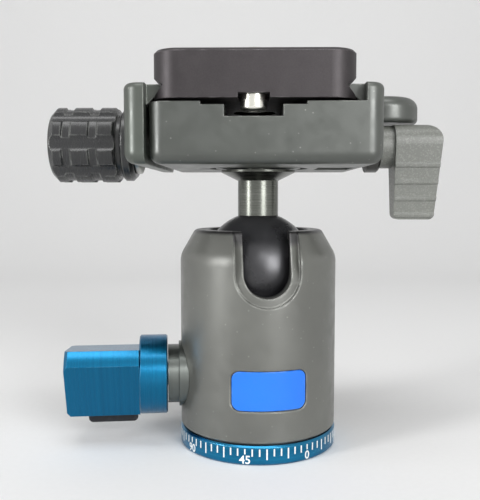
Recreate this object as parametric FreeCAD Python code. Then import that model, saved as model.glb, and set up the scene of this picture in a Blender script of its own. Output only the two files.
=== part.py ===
import FreeCAD, Part
import math
import os

# Tripod ball head with a quick-release clamp and plate.
# Units are millimetres. The origin is the centre of the base's underside, +Z runs up the stem,
# -Y is the front of the clamp and +X is the side of the clamp lever.

V = FreeCAD.Vector
X_AXIS = V(1, 0, 0)
Z_AXIS = V(0, 0, 1)

# Clearances
RUN = 0.05            # radial gap of a running fit
NEST = 0.03           # gap between faces that are pressed or screwed together
PAN_GAP = 0.03        # height of the gap under the turning housing

# Base: graduated ring, core with the tripod thread, friction washer
BODY_R = 17.0         # outside radius of the housing above the ring
RING_R = BODY_R + 0.1
RING_H = 4.0
RING_EDGE = 0.35
RING_WALL = 3.1
RING_UNDERCUT = 0.4
SOCKET_R = 4.0        # minor radius of a 3/8 inch - 16 thread
SOCKET_DEPTH = 9.0
SPINDLE_R = 7.0
SPINDLE_NECK_R = 6.5
SPINDLE_TOP = 11.1
NUT_NOTCH = 1.1
PAN_SPRING_WALL = 3.0
NUT_WALL = 4.0
WASHER_H = 0.22
WASHER_R = BODY_R - 0.7
FOOT_DEPTH = 0.5
FOOT_INNER_R = 8.5
FOOT_OUTER_R = 12.5

# Housing
HEAD_TURN = 7.0       # degrees the housing is turned from the clamp, about +Z
FLOOR_H = 4.2
RIM_Z = 46.9
RIM_R = 13.8
RIM_INNER_R = 10.9
RIM_LIP_H = 1.7
RIM_EDGE = 1.1
SHOULDER_SLOPE = 30.0     # degrees from vertical
SHOULDER_BLEND = 5.0
BODY_EDGE = 0.4
BORE_R = 13.0
RELIEF_Z = 36.5           # low edge of the facet round the drop notch
RELIEF_HALF = 11.2        # half-width of that facet at its low edge
RELIEF_SPREAD = 1.24      # how much the half-width grows per mm of height
RELIEF_OFFSET = 1.2       # how far behind the axis the facet's cone is centred
NOTCH_R = 4.85
NOTCH_LIP_R = 6.7
NOTCH_LIP_DEPTH = 0.6
BADGE_W = 15.4
BADGE_H = 8.3
BADGE_CORNER = 1.8
BADGE_Z = 15.1
BADGE_TURN = 1.0          # degrees from the housing's own front
BADGE_DEPTH = 0.7
BADGE_GAP = 0.15
BADGE_SINK = 0.12

# Ball, seat and cup
BALL_Z = 38.5
BALL_R = 12.1
BALL_FIT = 0.05
STEM_R = 4.4
STEM_TOP = 59.7
FLARE_Z = 57.4
FLARE_R = 8.0
FLARE_EDGE = 0.5
STUD_R = 3.6
STUD_TOP = 62.6
SEAT_LOW = 3.2            # seat ring's lower face above the ball centre
SEAT_PROUD = 0.2          # how far the seat stands inside the rim's opening
SEAT_SPLIT = 0.3          # how far the seat's split clears the notch on each side
CUP_TOP = 5.3             # cup's upper face below the ball centre
CUP_BASE_Z = 22.4
CUP_FOOT_R = 6.0
CUP_FOOT_Z = 16.2         # height of the wedge face on the stem's axis
WEDGE_SLOPE = 0.3         # rise per mm of pin travel
SPRING_WIRE = 0.6

# Lock knob, about an axis along the housing's own -X
KNOB_Z = 15.15
BUSH_R = 6.35
BUSH_INNER = 11.6
BUSH_OUTER = BODY_R + 2.9
BUSH_FLANGE_R = 7.1
BUSH_FLANGE_H = 0.5
STUD_SHANK_R = 2.6
STUD_HEAD_R = 4.0
STUD_HEAD_L = 3.0
STUD_TIP_R = 2.0
STUD_INNER = 7.0
COLLAR_R = 8.55
COLLAR_IN = BUSH_OUTER + 0.1
COLLAR_OUT = COLLAR_IN + 6.0
COLLAR_EDGE = 0.3
GRIP_R = 8.75
GRIP_FLAT = 5.85
GRIP_FLATS = 3
GRIP_FLAT_TURN = -23.5    # degrees of the front flat's normal below the horizontal
GRIP_EDGE = 0.7
GRIP_OUT = COLLAR_OUT + 15.5
TAB_INNER = COLLAR_OUT + 0.6
TAB_OUTER = TAB_INNER + 10.8
TAB_W = 4.2
TAB_REACH = 10.9
TAB_TURN = -104.0
TAB_CORNER = 1.0
TAB_ROUND = 0.9
PIN_R = 3.2
PIN_INNER = 0.6
PIN_OUTER = 10.4
PIN_END_GAP = 0.2
PIN_TRAVEL = 1.0

# Clamp body
CLAMP_X0 = -20.6
CLAMP_X1 = 23.2
CLAMP_Y = 24.5
CLAMP_Z0 = 60.0
CLAMP_TOP = 71.45
WALL_X = 19.7
WALL_TOP = 75.0
WALL_ROUND = 1.2
CLAMP_CORNER = 3.0
CLAMP_BOTTOM_ROUND = 2.2
CHANNEL_X = -1.0
CHANNEL_HALF = 5.45
CHANNEL_Z = 68.7
DIP_HALF = 9.8
DIP_DEPTH = 0.6
LIP_FRONT = 3.5           # how far behind the front face the fixed lip starts
BOSS_R = 9.2
BOSS_GROOVE = 1.6
BOSS_GROOVE_DEPTH = 0.9
POCKET_X0 = 11.0
POCKET_X1 = 20.2
POCKET_Y = 6.5
POCKET_DEPTH = 1.8

# Drive line of the clamp: rod, knob, jaw and lever share one axis along X
ROD_Z = 65.1
ROD_R = 2.0
ROD_X0 = -38.5
ROD_X1 = 33.0
KEY_X = -11.5
KEY_R = 1.0
KEY_WALL = 0.15
KEY_SINK = 0.6
KEY_SCREW_R = 1.5
KEY_SCREW_LIFT = 0.3
KEY_SOCKET_R = 0.75
KEY_SOCKET_H = 1.0
KEY_SLOT_X0 = -18.5
KEY_SLOT_X1 = -9.0
ROD_TRAVEL = 1.5
JAW_X0 = -25.3
JAW_X1 = -21.2
JAW_Y = 24.5
GUIDE_Y = 15.0
GUIDE_R = 1.25
GUIDE_X1 = -9.0
GUIDE_WALL = 1.2          # metal left outside the guide pins in the jaw
LIP_TIP_LOW = 74.1
LIP_TIP_HIGH = 74.4

# Knurled clamp knob
CKNOB_R = 8.15
CKNOB_X0 = -44.2
CKNOB_X1 = -30.1
CKNOB_NECK_R = 6.6
CKNOB_COLLAR_X0 = -29.1
CKNOB_COLLAR_X1 = -26.5
CKNOB_COLLAR_R = 7.7
CKNOB_FLUTES = 8
CKNOB_FLUTE_R = 2.3
CKNOB_FLUTE_SINK = 0.85
CKNOB_GROOVES = (-41.3, -35.7)
CKNOB_GROOVE_W = 2.1
CKNOB_GROOVE_DEPTH = 0.5
CKNOB_EDGE = 1.2
CKNOB_INNER_EDGE = 0.5
CKNOB_COLLAR_EDGE = 0.4
CKNOB_COLLAR_SLOPE = 0.8
CWASHER_R = 6.2
CWASHER_EDGE = 0.2

# Lever
SEAT_R = 5.9
SEAT_X1 = 26.0
SEAT_EDGE = 0.4
SEAT_CLEAR = 0.3
HUB_R = 4.6
HUB_DROP = 0.4            # how far the hub's centre lies below the rod's axis
HUB_X0 = 26.1
HUB_INSET = 2.0           # how far the hub ends short of the paddle's outer face
ROD_END_GAP = 0.5
PADDLE_X0 = 28.9
PADDLE_X1 = 38.8
PADDLE_TIP_X1 = 37.4
PADDLE_TOP_Z = 69.3
PADDLE_TAPER_Z = 65.9
PADDLE_TIP_Z = 49.1
PADDLE_FRONT = 5.4
PADDLE_BACK = 3.6
PADDLE_HEAD_R = 3.6       # round from the paddle's top to its front and its back
PADDLE_TIP_FRONT = 3.6
PADDLE_TIP_BACK = 0.2
PADDLE_CORNER = 3.3
PADDLE_EDGE = 1.2
RIB_TOP_Z = 61.2
RIB_PITCH = 3.55
RIB_COUNT = 4
RIB_H = 1.1
RIB_BEVEL = 0.3
RIB_PROUD = 0.3

# Bubble level
LEVEL_X = 27.8
LEVEL_Y = 4.0
LEVEL_R = 7.4
LEVEL_Z0 = 69.8
LEVEL_Z1 = 75.5
LEVEL_ROUND_TOP = 2.5
LEVEL_ROUND_LOW = 1.0
BOSS_INSET = 1.5          # how far behind the wall's inner face the level boss starts
VIAL_R = 4.6
VIAL_DEPTH = 3.0
VIAL_SINK = 0.25

# Quick-release plate
PLATE_X = -0.8
PLATE_W = 38.0
PLATE_L = 50.0
PLATE_Z0 = 72.0
PLATE_Z1 = 81.0
PLATE_CORNER = 5.0
PLATE_EDGE = 0.5
GROOVE_TOP_Z = 76.1
GROOVE_APEX_Z = 74.45
GROOVE_LAND = 0.35        # upright land of the dovetail flange
FLANK_GAP = 0.1
PLATE_NOTCH_W = 5.9
PLATE_NOTCH_H = 0.9
PLATE_NOTCH_L = 6.0
PAD_W = 13.5
PAD_Y = PLATE_L / 2 - 4.5
PAD_DEPTH = 0.8
PAD_PROUD = 0.25
PAD_INNER = 5.0
PAD_CORNER = 1.5
PLATE_SLOT_R = 3.4
STOP_R = 2.55
STOP_H = 3.0
STOP_Y = 3.4 - PLATE_L / 2     # the screw's place behind the plate's front end
STOP_THREAD_R = 1.5
STOP_THREAD_H = 4.0
STOP_ROUND = 0.7
STOP_SOCKET_R = 1.2
STOP_SOCKET_H = 1.4
CAMERA_R = 3.05           # outside radius of a 1/4 inch - 20 thread
CAMERA_STAND = 4.7
CAMERA_NECK_R = 2.4       # relieved neck that keeps the screw captive
CAMERA_NECK_TOP = 0.35    # how far the neck rises above the plate
CAMERA_HEAD_R = 4.6
CAMERA_HEAD_H = 2.2
CAMERA_HEAD_SINK = 0.6
CAMERA_SLOT_W = 1.2
CAMERA_SLOT_H = 1.0
CAMERA_EDGE = 0.5


def cylinder(radius, low, high, x=0.0, y=0.0):
    return Part.makeCylinder(radius, high - low, V(x, y, low), Z_AXIS)


def tube(inner, outer, low, high, x=0.0, y=0.0):
    return cylinder(outer, low, high, x, y).cut(cylinder(inner, low, high, x, y))


def rod(radius, x0, x1, y=0.0, z=0.0):
    return Part.makeCylinder(radius, x1 - x0, V(x0, y, z), X_AXIS)


def block(x0, x1, y0, y1, z0, z1):
    return Part.makeBox(x1 - x0, y1 - y0, z1 - z0, V(x0, y0, z0))


def prism_xz(points, y0, y1):
    """Extrude a closed outline of (x, z) points along Y."""
    corners = [V(x, y0, z) for x, z in points]
    face = Part.Face(Part.makePolygon(corners + corners[:1]))
    return face.extrude(V(0, y1 - y0, 0))


def rounded_plate(x0, x1, y0, y1, z0, z1, radius):
    """A block whose four upright edges are rounded."""
    solid = block(x0, x1, y0, y1, z0, z1)
    upright = [e for e in solid.Edges if abs(e.tangentAt(e.FirstParameter).z) > 0.99]
    return solid.makeFillet(radius, upright)


def revolve(edges, centre=V(0, 0, 0), axis=Z_AXIS):
    face = Part.Face(Part.Wire(edges))
    return face.revolve(centre, axis, 360)


def line(a, b):
    return Part.LineSegment(V(a[0], 0, a[1]), V(b[0], 0, b[1])).toShape()


def turned_profile(points):
    """Revolve a closed (radius, height) outline about Z."""
    return revolve([line(a, b) for a, b in zip(points, points[1:] + points[:1])])


def turned_profile_x(points, z):
    """Revolve a closed (x, radius) outline about the line along X at height z."""
    corners = [V(x, 0, z + r) for x, r in points]
    face = Part.Face(Part.makePolygon(corners + corners[:1]))
    return face.revolve(V(0, 0, z), X_AXIS, 360)


def head_turned(shape):
    """Turn a housing-group piece to where the housing points."""
    shape.rotate(V(0, 0, 0), Z_AXIS, HEAD_TURN)
    return shape


def edges_at(solid, test):
    return [e for e in solid.Edges if test(e.CenterOfMass, e.BoundBox)]


FLOOR_Z = RING_H + WASHER_H + PAN_GAP
FLOOR_TOP = FLOOR_Z + FLOOR_H
SLOPE = math.tan(math.radians(SHOULDER_SLOPE))


def scale_ring():
    return turned_profile([
        (RING_R - RING_WALL, 0), (RING_R - RING_EDGE, 0), (RING_R, RING_EDGE),
        (RING_R, RING_H - RING_EDGE), (RING_R - RING_EDGE, RING_H), (RING_R - RING_WALL, RING_H)])


def base_core():
    """Disc and spindle in one piece, with the blind tripod thread up its middle."""
    disc_r = RING_R - RING_WALL - NEST
    core = turned_profile([
        (0, RING_UNDERCUT), (disc_r, RING_UNDERCUT), (disc_r, RING_H), (SPINDLE_R, RING_H),
        (SPINDLE_R, FLOOR_TOP), (SPINDLE_NECK_R, FLOOR_TOP), (SPINDLE_NECK_R, SPINDLE_TOP),
        (0, SPINDLE_TOP)])
    boss = cylinder(FOOT_INNER_R - NEST, 0, RING_UNDERCUT)
    socket = cylinder(SOCKET_R, -1, SOCKET_DEPTH)
    foot = tube(FOOT_INNER_R, FOOT_OUTER_R, 0, RING_UNDERCUT + FOOT_DEPTH)
    return core.fuse(boss).cut(foot).cut(socket).removeSplitter()


def foot_ring():
    """Rubber friction ring let into the underside."""
    return tube(FOOT_INNER_R + NEST, FOOT_OUTER_R - NEST, 0.0, RING_UNDERCUT + FOOT_DEPTH - NEST)


def pan_washer():
    return tube(SPINDLE_R + RUN, WASHER_R, RING_H, RING_H + WASHER_H)


def pan_spring():
    """Disc spring that presses the housing down on the washer."""
    low = FLOOR_TOP + NEST
    return turned_profile([
        (SPINDLE_NECK_R + RUN, low + SPRING_WIRE / 2), (BORE_R - PAN_SPRING_WALL, low),
        (BORE_R - PAN_SPRING_WALL, low + SPRING_WIRE / 2), (SPINDLE_NECK_R + RUN, low + SPRING_WIRE)])


def pan_nut():
    """Ring nut that holds the housing down on the spindle, with two spanner notches."""
    low = FLOOR_TOP + SPRING_WIRE + 2 * NEST
    outer = BORE_R - NUT_WALL
    nut = tube(SPINDLE_NECK_R + NEST, outer, low, SPINDLE_TOP)
    for side in (-1, 1):
        middle = side * (outer - NUT_NOTCH / 2)
        nut = nut.cut(block(-NUT_NOTCH, NUT_NOTCH, middle - NUT_NOTCH / 2, middle + NUT_NOTCH / 2,
                            SPINDLE_TOP - NUT_NOTCH, SPINDLE_TOP))
    return nut


def body_form(inset):
    """Outside of the housing, drawn in by inset: a cylinder, a blend and a cone to the rim."""
    radius = BODY_R - inset
    rim = RIM_R - inset
    cone_z = RIM_Z - (radius - rim) / SLOPE
    tangent = SHOULDER_BLEND * math.tan(math.radians(SHOULDER_SLOPE / 2))
    half = math.radians(SHOULDER_SLOPE / 2)
    start = (radius, cone_z - tangent)
    end = (radius - tangent * math.sin(2 * half), cone_z + tangent * math.cos(2 * half))
    middle = (radius - SHOULDER_BLEND * (1 - math.cos(half)), start[1] + SHOULDER_BLEND * math.sin(half))
    arc = Part.Arc(V(start[0], 0, start[1]), V(middle[0], 0, middle[1]), V(end[0], 0, end[1])).toShape()
    low_edge = (radius, FLOOR_Z + BODY_EDGE)
    outline = [line((0, FLOOR_Z), (radius - BODY_EDGE, FLOOR_Z)),
               line((radius - BODY_EDGE, FLOOR_Z), low_edge),
               line(low_edge, start), arc,
               line(end, (rim, RIM_Z)), line((rim, RIM_Z), (0, RIM_Z)),
               line((0, RIM_Z), (0, FLOOR_Z))]
    form = revolve(outline)
    rim_edge = edges_at(form, lambda c, b: b.ZMin > RIM_Z - 0.01)
    return form.makeFillet(RIM_EDGE, rim_edge)


def relief_tool(inset):
    """What the front facet takes off: a trapezium outside a lower, steeper, set-back cone."""
    top = RIM_Z + 2.0
    high_half = RELIEF_HALF + RELIEF_SPREAD * (top - RELIEF_Z)
    front = prism_xz([(-RELIEF_HALF, RELIEF_Z - inset), (RELIEF_HALF, RELIEF_Z - inset),
                      (high_half, top), (-high_half, top)], -BODY_R - 2.0, 0)
    fall = (BODY_R - RIM_R) / (RIM_Z - RELIEF_Z)
    low = RELIEF_Z - 1.0
    cone = Part.makeCone(BODY_R + RELIEF_OFFSET + fall - inset,
                         RIM_R + RELIEF_OFFSET - fall * (top - RIM_Z) - inset, top - low,
                         V(0, RELIEF_OFFSET, low), Z_AXIS)
    return front.cut(cone)


def notch_tool(radius, reach):
    """Round-bottomed slot for the stem, open to the front and the top."""
    round_part = Part.makeCylinder(radius, reach, V(0, 0, BALL_Z), V(0, -1, 0))
    return round_part.fuse(block(-radius, radius, -reach, 0, BALL_Z, RIM_Z + 2.0))


def badge_form(grow, inner_r, outer_r):
    """Rounded rectangle wrapped on the housing between two radii."""
    half_w = BADGE_W / 2 + grow
    half_h = BADGE_H / 2 + grow
    stamp = block(-half_w, half_w, -BODY_R - 1.0, -BODY_R / 2, BADGE_Z - half_h, BADGE_Z + half_h)
    corners = [e for e in stamp.Edges if abs(e.tangentAt(e.FirstParameter).y) > 0.99]
    stamp = stamp.makeFillet(BADGE_CORNER + grow, corners)
    ring = tube(inner_r, outer_r, BADGE_Z - BADGE_H, BADGE_Z + BADGE_H)
    shape = stamp.common(ring)
    shape.rotate(V(0, 0, 0), Z_AXIS, BADGE_TURN)
    return shape


def housing():
    """Cast shell: stepped bore, shoulder, facet, drop notch with its sunk lip, badge recess."""
    shell = body_form(0.0).cut(relief_tool(0.0))
    lip_floor = body_form(NOTCH_LIP_DEPTH).cut(relief_tool(NOTCH_LIP_DEPTH))
    shell = shell.cut(notch_tool(NOTCH_LIP_R, BODY_R + 2.0).cut(lip_floor))
    shell = shell.cut(cylinder(BORE_R, FLOOR_TOP, RIM_Z - RIM_LIP_H))
    shell = shell.cut(cylinder(RIM_INNER_R, RIM_Z - RIM_LIP_H, RIM_Z))
    shell = shell.cut(cylinder(SPINDLE_R + RUN, 0, FLOOR_TOP))
    shell = shell.cut(notch_tool(NOTCH_R, BODY_R + 2.0))
    shell = shell.cut(badge_form(0.0, BODY_R - BADGE_DEPTH, BODY_R + 1.0))
    shell = shell.cut(rod(BUSH_R + NEST, -BODY_R - 1.0, -BORE_R / 2, 0, KNOB_Z))
    return head_turned(shell)


def badge():
    """Bare enamelled plate that sits in its recess."""
    plate = badge_form(-BADGE_GAP, BODY_R - BADGE_DEPTH, BODY_R - BADGE_SINK)
    return head_turned(plate)


def ball_seat():
    """Polymer ring under the rim that the ball is pressed up against, split at the notch."""
    low = BALL_Z + SEAT_LOW
    ring = cylinder(BORE_R - NEST, low, RIM_Z - RIM_LIP_H - NEST)
    ring = ring.cut(cylinder(RIM_INNER_R - SEAT_PROUD, low, RIM_Z))
    ring = ring.cut(Part.makeSphere(BALL_R + BALL_FIT, V(0, 0, BALL_Z)))
    ring = ring.cut(notch_tool(NOTCH_R + SEAT_SPLIT, BODY_R))
    return head_turned(ring)


def cup_foot_plane():
    """Upper side of the wedge: a half-space block above the sloped face."""
    reach = BORE_R
    middle = CUP_FOOT_Z
    return prism_xz([(-reach, middle + WEDGE_SLOPE * reach), (reach, middle - WEDGE_SLOPE * reach),
                     (reach, CUP_BASE_Z + reach), (-reach, CUP_BASE_Z + reach)], -reach, reach)


def ball_cup():
    """Lower seat: a dished disc with a sloped foot that the pressure pin pushes up."""
    disc = cylinder(BORE_R - RUN - NEST, CUP_BASE_Z, BALL_Z - CUP_TOP)
    dish = Part.makeSphere(BALL_R + BALL_FIT, V(0, 0, BALL_Z))
    foot = cylinder(CUP_FOOT_R, CUP_FOOT_Z - WEDGE_SLOPE * CUP_FOOT_R, CUP_BASE_Z)
    foot = foot.common(cup_foot_plane())
    return head_turned(disc.cut(dish).fuse(foot).removeSplitter())


def pressure_pin():
    """Keyed plunger on the knob's stud, its upper side cut to the wedge's slope."""
    pin = rod(PIN_R, -PIN_OUTER, -PIN_INNER, 0, KNOB_Z)
    wedge = cup_foot_plane()
    wedge.translate(V(0, 0, -RUN))
    bore = rod(STUD_TIP_R + RUN, -PIN_OUTER, -STUD_INNER + PIN_TRAVEL + PIN_END_GAP, 0, KNOB_Z)
    return head_turned(pin.cut(wedge).cut(bore))


def knob_bushing():
    """Threaded bushing that carries the lock knob and shows as its neck."""
    seat_x = math.sqrt(BODY_R ** 2 - BUSH_FLANGE_R ** 2)
    barrel = rod(BUSH_R, -BUSH_OUTER, -BUSH_INNER, 0, KNOB_Z)
    flange = rod(BUSH_FLANGE_R, -BODY_R - BUSH_FLANGE_H, -seat_x, 0, KNOB_Z)
    flange = flange.cut(cylinder(BODY_R + NEST, 0, RIM_Z))
    bore = rod(STUD_SHANK_R + RUN, -BUSH_OUTER, -BUSH_INNER, 0, KNOB_Z)
    return head_turned(barrel.fuse(flange).cut(bore).removeSplitter())


def knob_stud():
    """Steel stud: head inside the grip, shank through the bushing into the pin."""
    shank = rod(STUD_SHANK_R, -COLLAR_OUT, -BUSH_INNER, 0, KNOB_Z)
    shank = shank.fuse(rod(STUD_TIP_R, -BUSH_INNER, -STUD_INNER, 0, KNOB_Z))
    head = rod(STUD_HEAD_R, -COLLAR_OUT - STUD_HEAD_L, -COLLAR_OUT, 0, KNOB_Z)
    return head_turned(shank.fuse(head).removeSplitter())


def grip_section(reach):
    """Long triangular prism along X whose three faces are the grip's flats."""
    corner = GRIP_FLAT / math.cos(math.pi / GRIP_FLATS)
    points = []
    for index in range(GRIP_FLATS):
        turn = math.radians(GRIP_FLAT_TURN + (index + 0.5) * 360.0 / GRIP_FLATS)
        points.append(V(-reach, -corner * math.cos(turn), KNOB_Z + corner * math.sin(turn)))
    face = Part.Face(Part.makePolygon(points + points[:1]))
    return face.extrude(V(reach, 0, 0))


def lock_knob():
    """Turned knob: a round collar and a grip with three milled flats."""
    collar = turned_profile_x([
        (-COLLAR_OUT, 0), (-COLLAR_OUT, COLLAR_R - COLLAR_EDGE), (-COLLAR_OUT + COLLAR_EDGE, COLLAR_R),
        (-COLLAR_IN - COLLAR_EDGE, COLLAR_R), (-COLLAR_IN, COLLAR_R - COLLAR_EDGE), (-COLLAR_IN, 0)], KNOB_Z)
    grip = turned_profile_x([
        (-GRIP_OUT, 0), (-GRIP_OUT, GRIP_R - GRIP_EDGE), (-GRIP_OUT + GRIP_EDGE, GRIP_R),
        (-COLLAR_OUT, GRIP_R), (-COLLAR_OUT, 0)], KNOB_Z)
    grip = grip.common(grip_section(GRIP_OUT + 1.0))
    knob = collar.fuse(grip)
    knob = knob.cut(rod(STUD_SHANK_R + NEST, -COLLAR_OUT, -COLLAR_IN, 0, KNOB_Z))
    pocket_x = -COLLAR_OUT - STUD_HEAD_L - NEST
    knob = knob.cut(rod(STUD_HEAD_R + NEST, pocket_x, -COLLAR_OUT + NEST, 0, KNOB_Z))
    return head_turned(knob.removeSplitter())


def knob_tab():
    """Rubber thumb tab on the knob's lower edge."""
    half = TAB_W / 2
    tab = rounded_plate(-TAB_OUTER, -TAB_INNER, -half, half, GRIP_FLAT, TAB_REACH, TAB_CORNER)
    top = edges_at(tab, lambda c, b: abs(b.ZMin - TAB_REACH) < 0.01 and abs(b.ZMax - TAB_REACH) < 0.01)
    tab = tab.makeFillet(TAB_ROUND, top)
    tab.rotate(V(0, 0, 0), X_AXIS, 90.0 - TAB_TURN)
    tab.translate(V(0, 0, KNOB_Z))
    grip = rod(GRIP_R, -GRIP_OUT, -COLLAR_OUT, 0, KNOB_Z).common(grip_section(GRIP_OUT + 1.0))
    return head_turned(tab.cut(grip))


def ball():
    return Part.makeSphere(BALL_R, V(0, 0, BALL_Z))


def stem():
    """Polished shank with a flared top and a stud; its foot is dished to the ball."""
    profile = turned_profile([
        (0, BALL_Z), (STEM_R, BALL_Z), (STEM_R, FLARE_Z), (FLARE_R, STEM_TOP - FLARE_EDGE),
        (FLARE_R, STEM_TOP), (STUD_R, STEM_TOP), (STUD_R, STUD_TOP), (0, STUD_TOP)])
    return profile.cut(Part.makeSphere(BALL_R + RUN, V(0, 0, BALL_Z)))


LEFT_SIDE = PLATE_X - PLATE_W / 2
RIGHT_SIDE = PLATE_X + PLATE_W / 2
FLANK_SHIFT = FLANK_GAP * math.sqrt(2)


def lip_outline(side_x, wall_x, outward, floor_z):
    """Jaw lip in (x, z): its lower flank runs parallel to the plate's dovetail flank."""
    land_top = PLATE_Z0 + GROOVE_LAND
    flank = side_x + outward * FLANK_SHIFT
    tip_x = flank - outward * (LIP_TIP_LOW - land_top)
    low_x = flank - outward * (floor_z - land_top)
    groove_rise = (GROOVE_TOP_Z - GROOVE_APEX_Z) / (GROOVE_APEX_Z - land_top)
    top_x = tip_x + outward * (WALL_TOP - LIP_TIP_HIGH) / groove_rise
    return [(top_x, WALL_TOP), (tip_x, LIP_TIP_HIGH), (tip_x, LIP_TIP_LOW), (low_x, floor_z),
            (wall_x, floor_z), (wall_x, WALL_TOP)]


def clamp_base():
    """Cast clamp body: bottom rounded, plate channel, fixed jaw wall and lip, level boss."""
    body = rounded_plate(CLAMP_X0, CLAMP_X1, -CLAMP_Y, CLAMP_Y, CLAMP_Z0, WALL_TOP, CLAMP_CORNER)
    bottom = edges_at(body, lambda c, b: abs(b.ZMin - CLAMP_Z0) < 0.01 and abs(b.ZMax - CLAMP_Z0) < 0.01)
    body = body.makeFillet(CLAMP_BOTTOM_ROUND, bottom)
    body = body.cut(block(CLAMP_X0 - 1, WALL_X, -CLAMP_Y - 1, CLAMP_Y + 1, CLAMP_TOP, WALL_TOP + 1))
    top = edges_at(body, lambda c, b: b.ZMin > WALL_TOP - 0.01 and c.x > WALL_X + 0.1)
    body = body.makeFillet(WALL_ROUND, top)
    lip_end = CLAMP_Y - LIP_FRONT
    lip = prism_xz(lip_outline(RIGHT_SIDE, WALL_X + 1.0, 1, CLAMP_TOP - 0.3), -lip_end, lip_end)
    body = body.fuse(lip)
    boss = cylinder(LEVEL_R, LEVEL_Z0, LEVEL_Z1, LEVEL_X, LEVEL_Y)
    boss = boss.makeFillet(LEVEL_ROUND_TOP, edges_at(boss, lambda c, b: b.ZMin > LEVEL_Z1 - 0.01))
    boss = boss.makeFillet(LEVEL_ROUND_LOW, edges_at(boss, lambda c, b: b.ZMax < LEVEL_Z0 + 0.01))
    boss = boss.cut(block(0, WALL_X + BOSS_INSET, -CLAMP_Y, CLAMP_Y, 0, LEVEL_Z1))
    boss = boss.cut(rod(SEAT_R + SEAT_CLEAR, CLAMP_X1, SEAT_X1 + SEAT_CLEAR, 0, ROD_Z))
    body = body.fuse(boss)
    body = body.cut(cylinder(VIAL_R, LEVEL_Z1 - VIAL_DEPTH, LEVEL_Z1 + 1, LEVEL_X, LEVEL_Y))
    body = body.cut(block(CHANNEL_X - CHANNEL_HALF, CHANNEL_X + CHANNEL_HALF, -CLAMP_Y - 1, CLAMP_Y + 1,
                          CHANNEL_Z, CLAMP_TOP + 1))
    body = body.cut(block(CHANNEL_X - DIP_HALF, CHANNEL_X + DIP_HALF, -CLAMP_Y - 1, CLAMP_Y + 1,
                          CLAMP_TOP - DIP_DEPTH, CLAMP_TOP + 1))
    body = body.cut(tube(BOSS_R, BOSS_R + BOSS_GROOVE, CLAMP_Z0 - 1, CLAMP_Z0 + BOSS_GROOVE_DEPTH))
    body = body.cut(block(POCKET_X0 + BOSS_GROOVE, POCKET_X1, -POCKET_Y, POCKET_Y, CLAMP_Z0 - 1,
                          CLAMP_Z0 + POCKET_DEPTH))
    body = body.cut(cylinder(STUD_R + RUN, CLAMP_Z0 - 1, STUD_TOP + RUN))
    body = body.cut(rod(ROD_R + RUN, CLAMP_X0 - 1, CLAMP_X1 + 1, 0, ROD_Z))
    body = body.cut(cylinder(KEY_SCREW_R + NEST, CLAMP_Z0 - 1, ROD_Z, KEY_X))
    for side in (-1, 1):
        body = body.cut(rod(GUIDE_R + RUN, CLAMP_X0 - 1, GUIDE_X1 + 1, side * GUIDE_Y, ROD_Z))
    return body.removeSplitter()


def level_vial():
    """Round spirit-level vial set in the boss."""
    return cylinder(VIAL_R - NEST, LEVEL_Z1 - VIAL_DEPTH + NEST, LEVEL_Z1 - VIAL_SINK, LEVEL_X, LEVEL_Y)


def key_screw():
    """Grub screw under the clamp whose tip keys the rod against turning."""
    low = CLAMP_Z0 + KEY_SCREW_LIFT
    screw = cylinder(KEY_SCREW_R, low, ROD_Z - ROD_R - KEY_WALL, KEY_X)
    screw = screw.fuse(cylinder(KEY_R - KEY_WALL, low, ROD_Z - ROD_R + KEY_SINK - KEY_WALL, KEY_X))
    return screw.cut(cylinder(KEY_SOCKET_R, low, low + KEY_SOCKET_H, KEY_X)).removeSplitter()


def lever_seat():
    """Steel thrust ring between the clamp's side and the lever."""
    return turned_profile_x([
        (CLAMP_X1 + NEST, ROD_R + RUN), (CLAMP_X1 + NEST, SEAT_R), (SEAT_X1 - SEAT_EDGE, SEAT_R),
        (SEAT_X1, SEAT_R - SEAT_EDGE), (SEAT_X1, ROD_R + RUN)], ROD_Z)


def tie_rod():
    shaft = rod(ROD_R, ROD_X0, ROD_X1, 0, ROD_Z)
    keyway = block(KEY_SLOT_X0, KEY_SLOT_X1, -KEY_R, KEY_R, ROD_Z - ROD_R - 1, ROD_Z - ROD_R + KEY_SINK)
    return shaft.cut(keyway)


def movable_jaw():
    """Left jaw: an upright bar with the dovetail lip along its top."""
    inner = JAW_X1 + 2 * CLAMP_CORNER
    bar = rounded_plate(JAW_X0, inner, -JAW_Y, JAW_Y, CLAMP_Z0, WALL_TOP, CLAMP_CORNER)
    bottom = edges_at(bar, lambda c, b: abs(b.ZMin - CLAMP_Z0) < 0.01 and abs(b.ZMax - CLAMP_Z0) < 0.01)
    bar = bar.makeFillet(CLAMP_BOTTOM_ROUND, bottom)
    bar = bar.cut(block(JAW_X1, 0, -JAW_Y - 1, JAW_Y + 1, CLAMP_Z0 - 1, WALL_TOP + 1))
    outer_top = edges_at(bar, lambda c, b: b.ZMin > WALL_TOP - 0.01 and c.x < JAW_X1 - 0.5)
    bar = bar.makeFillet(WALL_ROUND, outer_top)
    land_top = PLATE_Z0 + GROOVE_LAND
    low_z = land_top + JAW_X1 + FLANK_SHIFT - LEFT_SIDE
    lip = prism_xz(lip_outline(LEFT_SIDE, JAW_X1, -1, low_z), -JAW_Y + LIP_FRONT, JAW_Y - LIP_FRONT)
    bar = bar.fuse(lip)
    bar = bar.cut(rod(ROD_R + RUN, JAW_X0 - 1, JAW_X1 + 1, 0, ROD_Z))
    for side in (-1, 1):
        bar = bar.cut(rod(GUIDE_R + NEST, JAW_X0 + GUIDE_WALL, JAW_X1 + 1, side * GUIDE_Y, ROD_Z))
    return bar.removeSplitter()


def guide_pins():
    inner = JAW_X0 + GUIDE_WALL + NEST
    pins = [rod(GUIDE_R, inner, GUIDE_X1, side * GUIDE_Y, ROD_Z) for side in (-1, 1)]
    return Part.makeCompound(pins)


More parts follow.
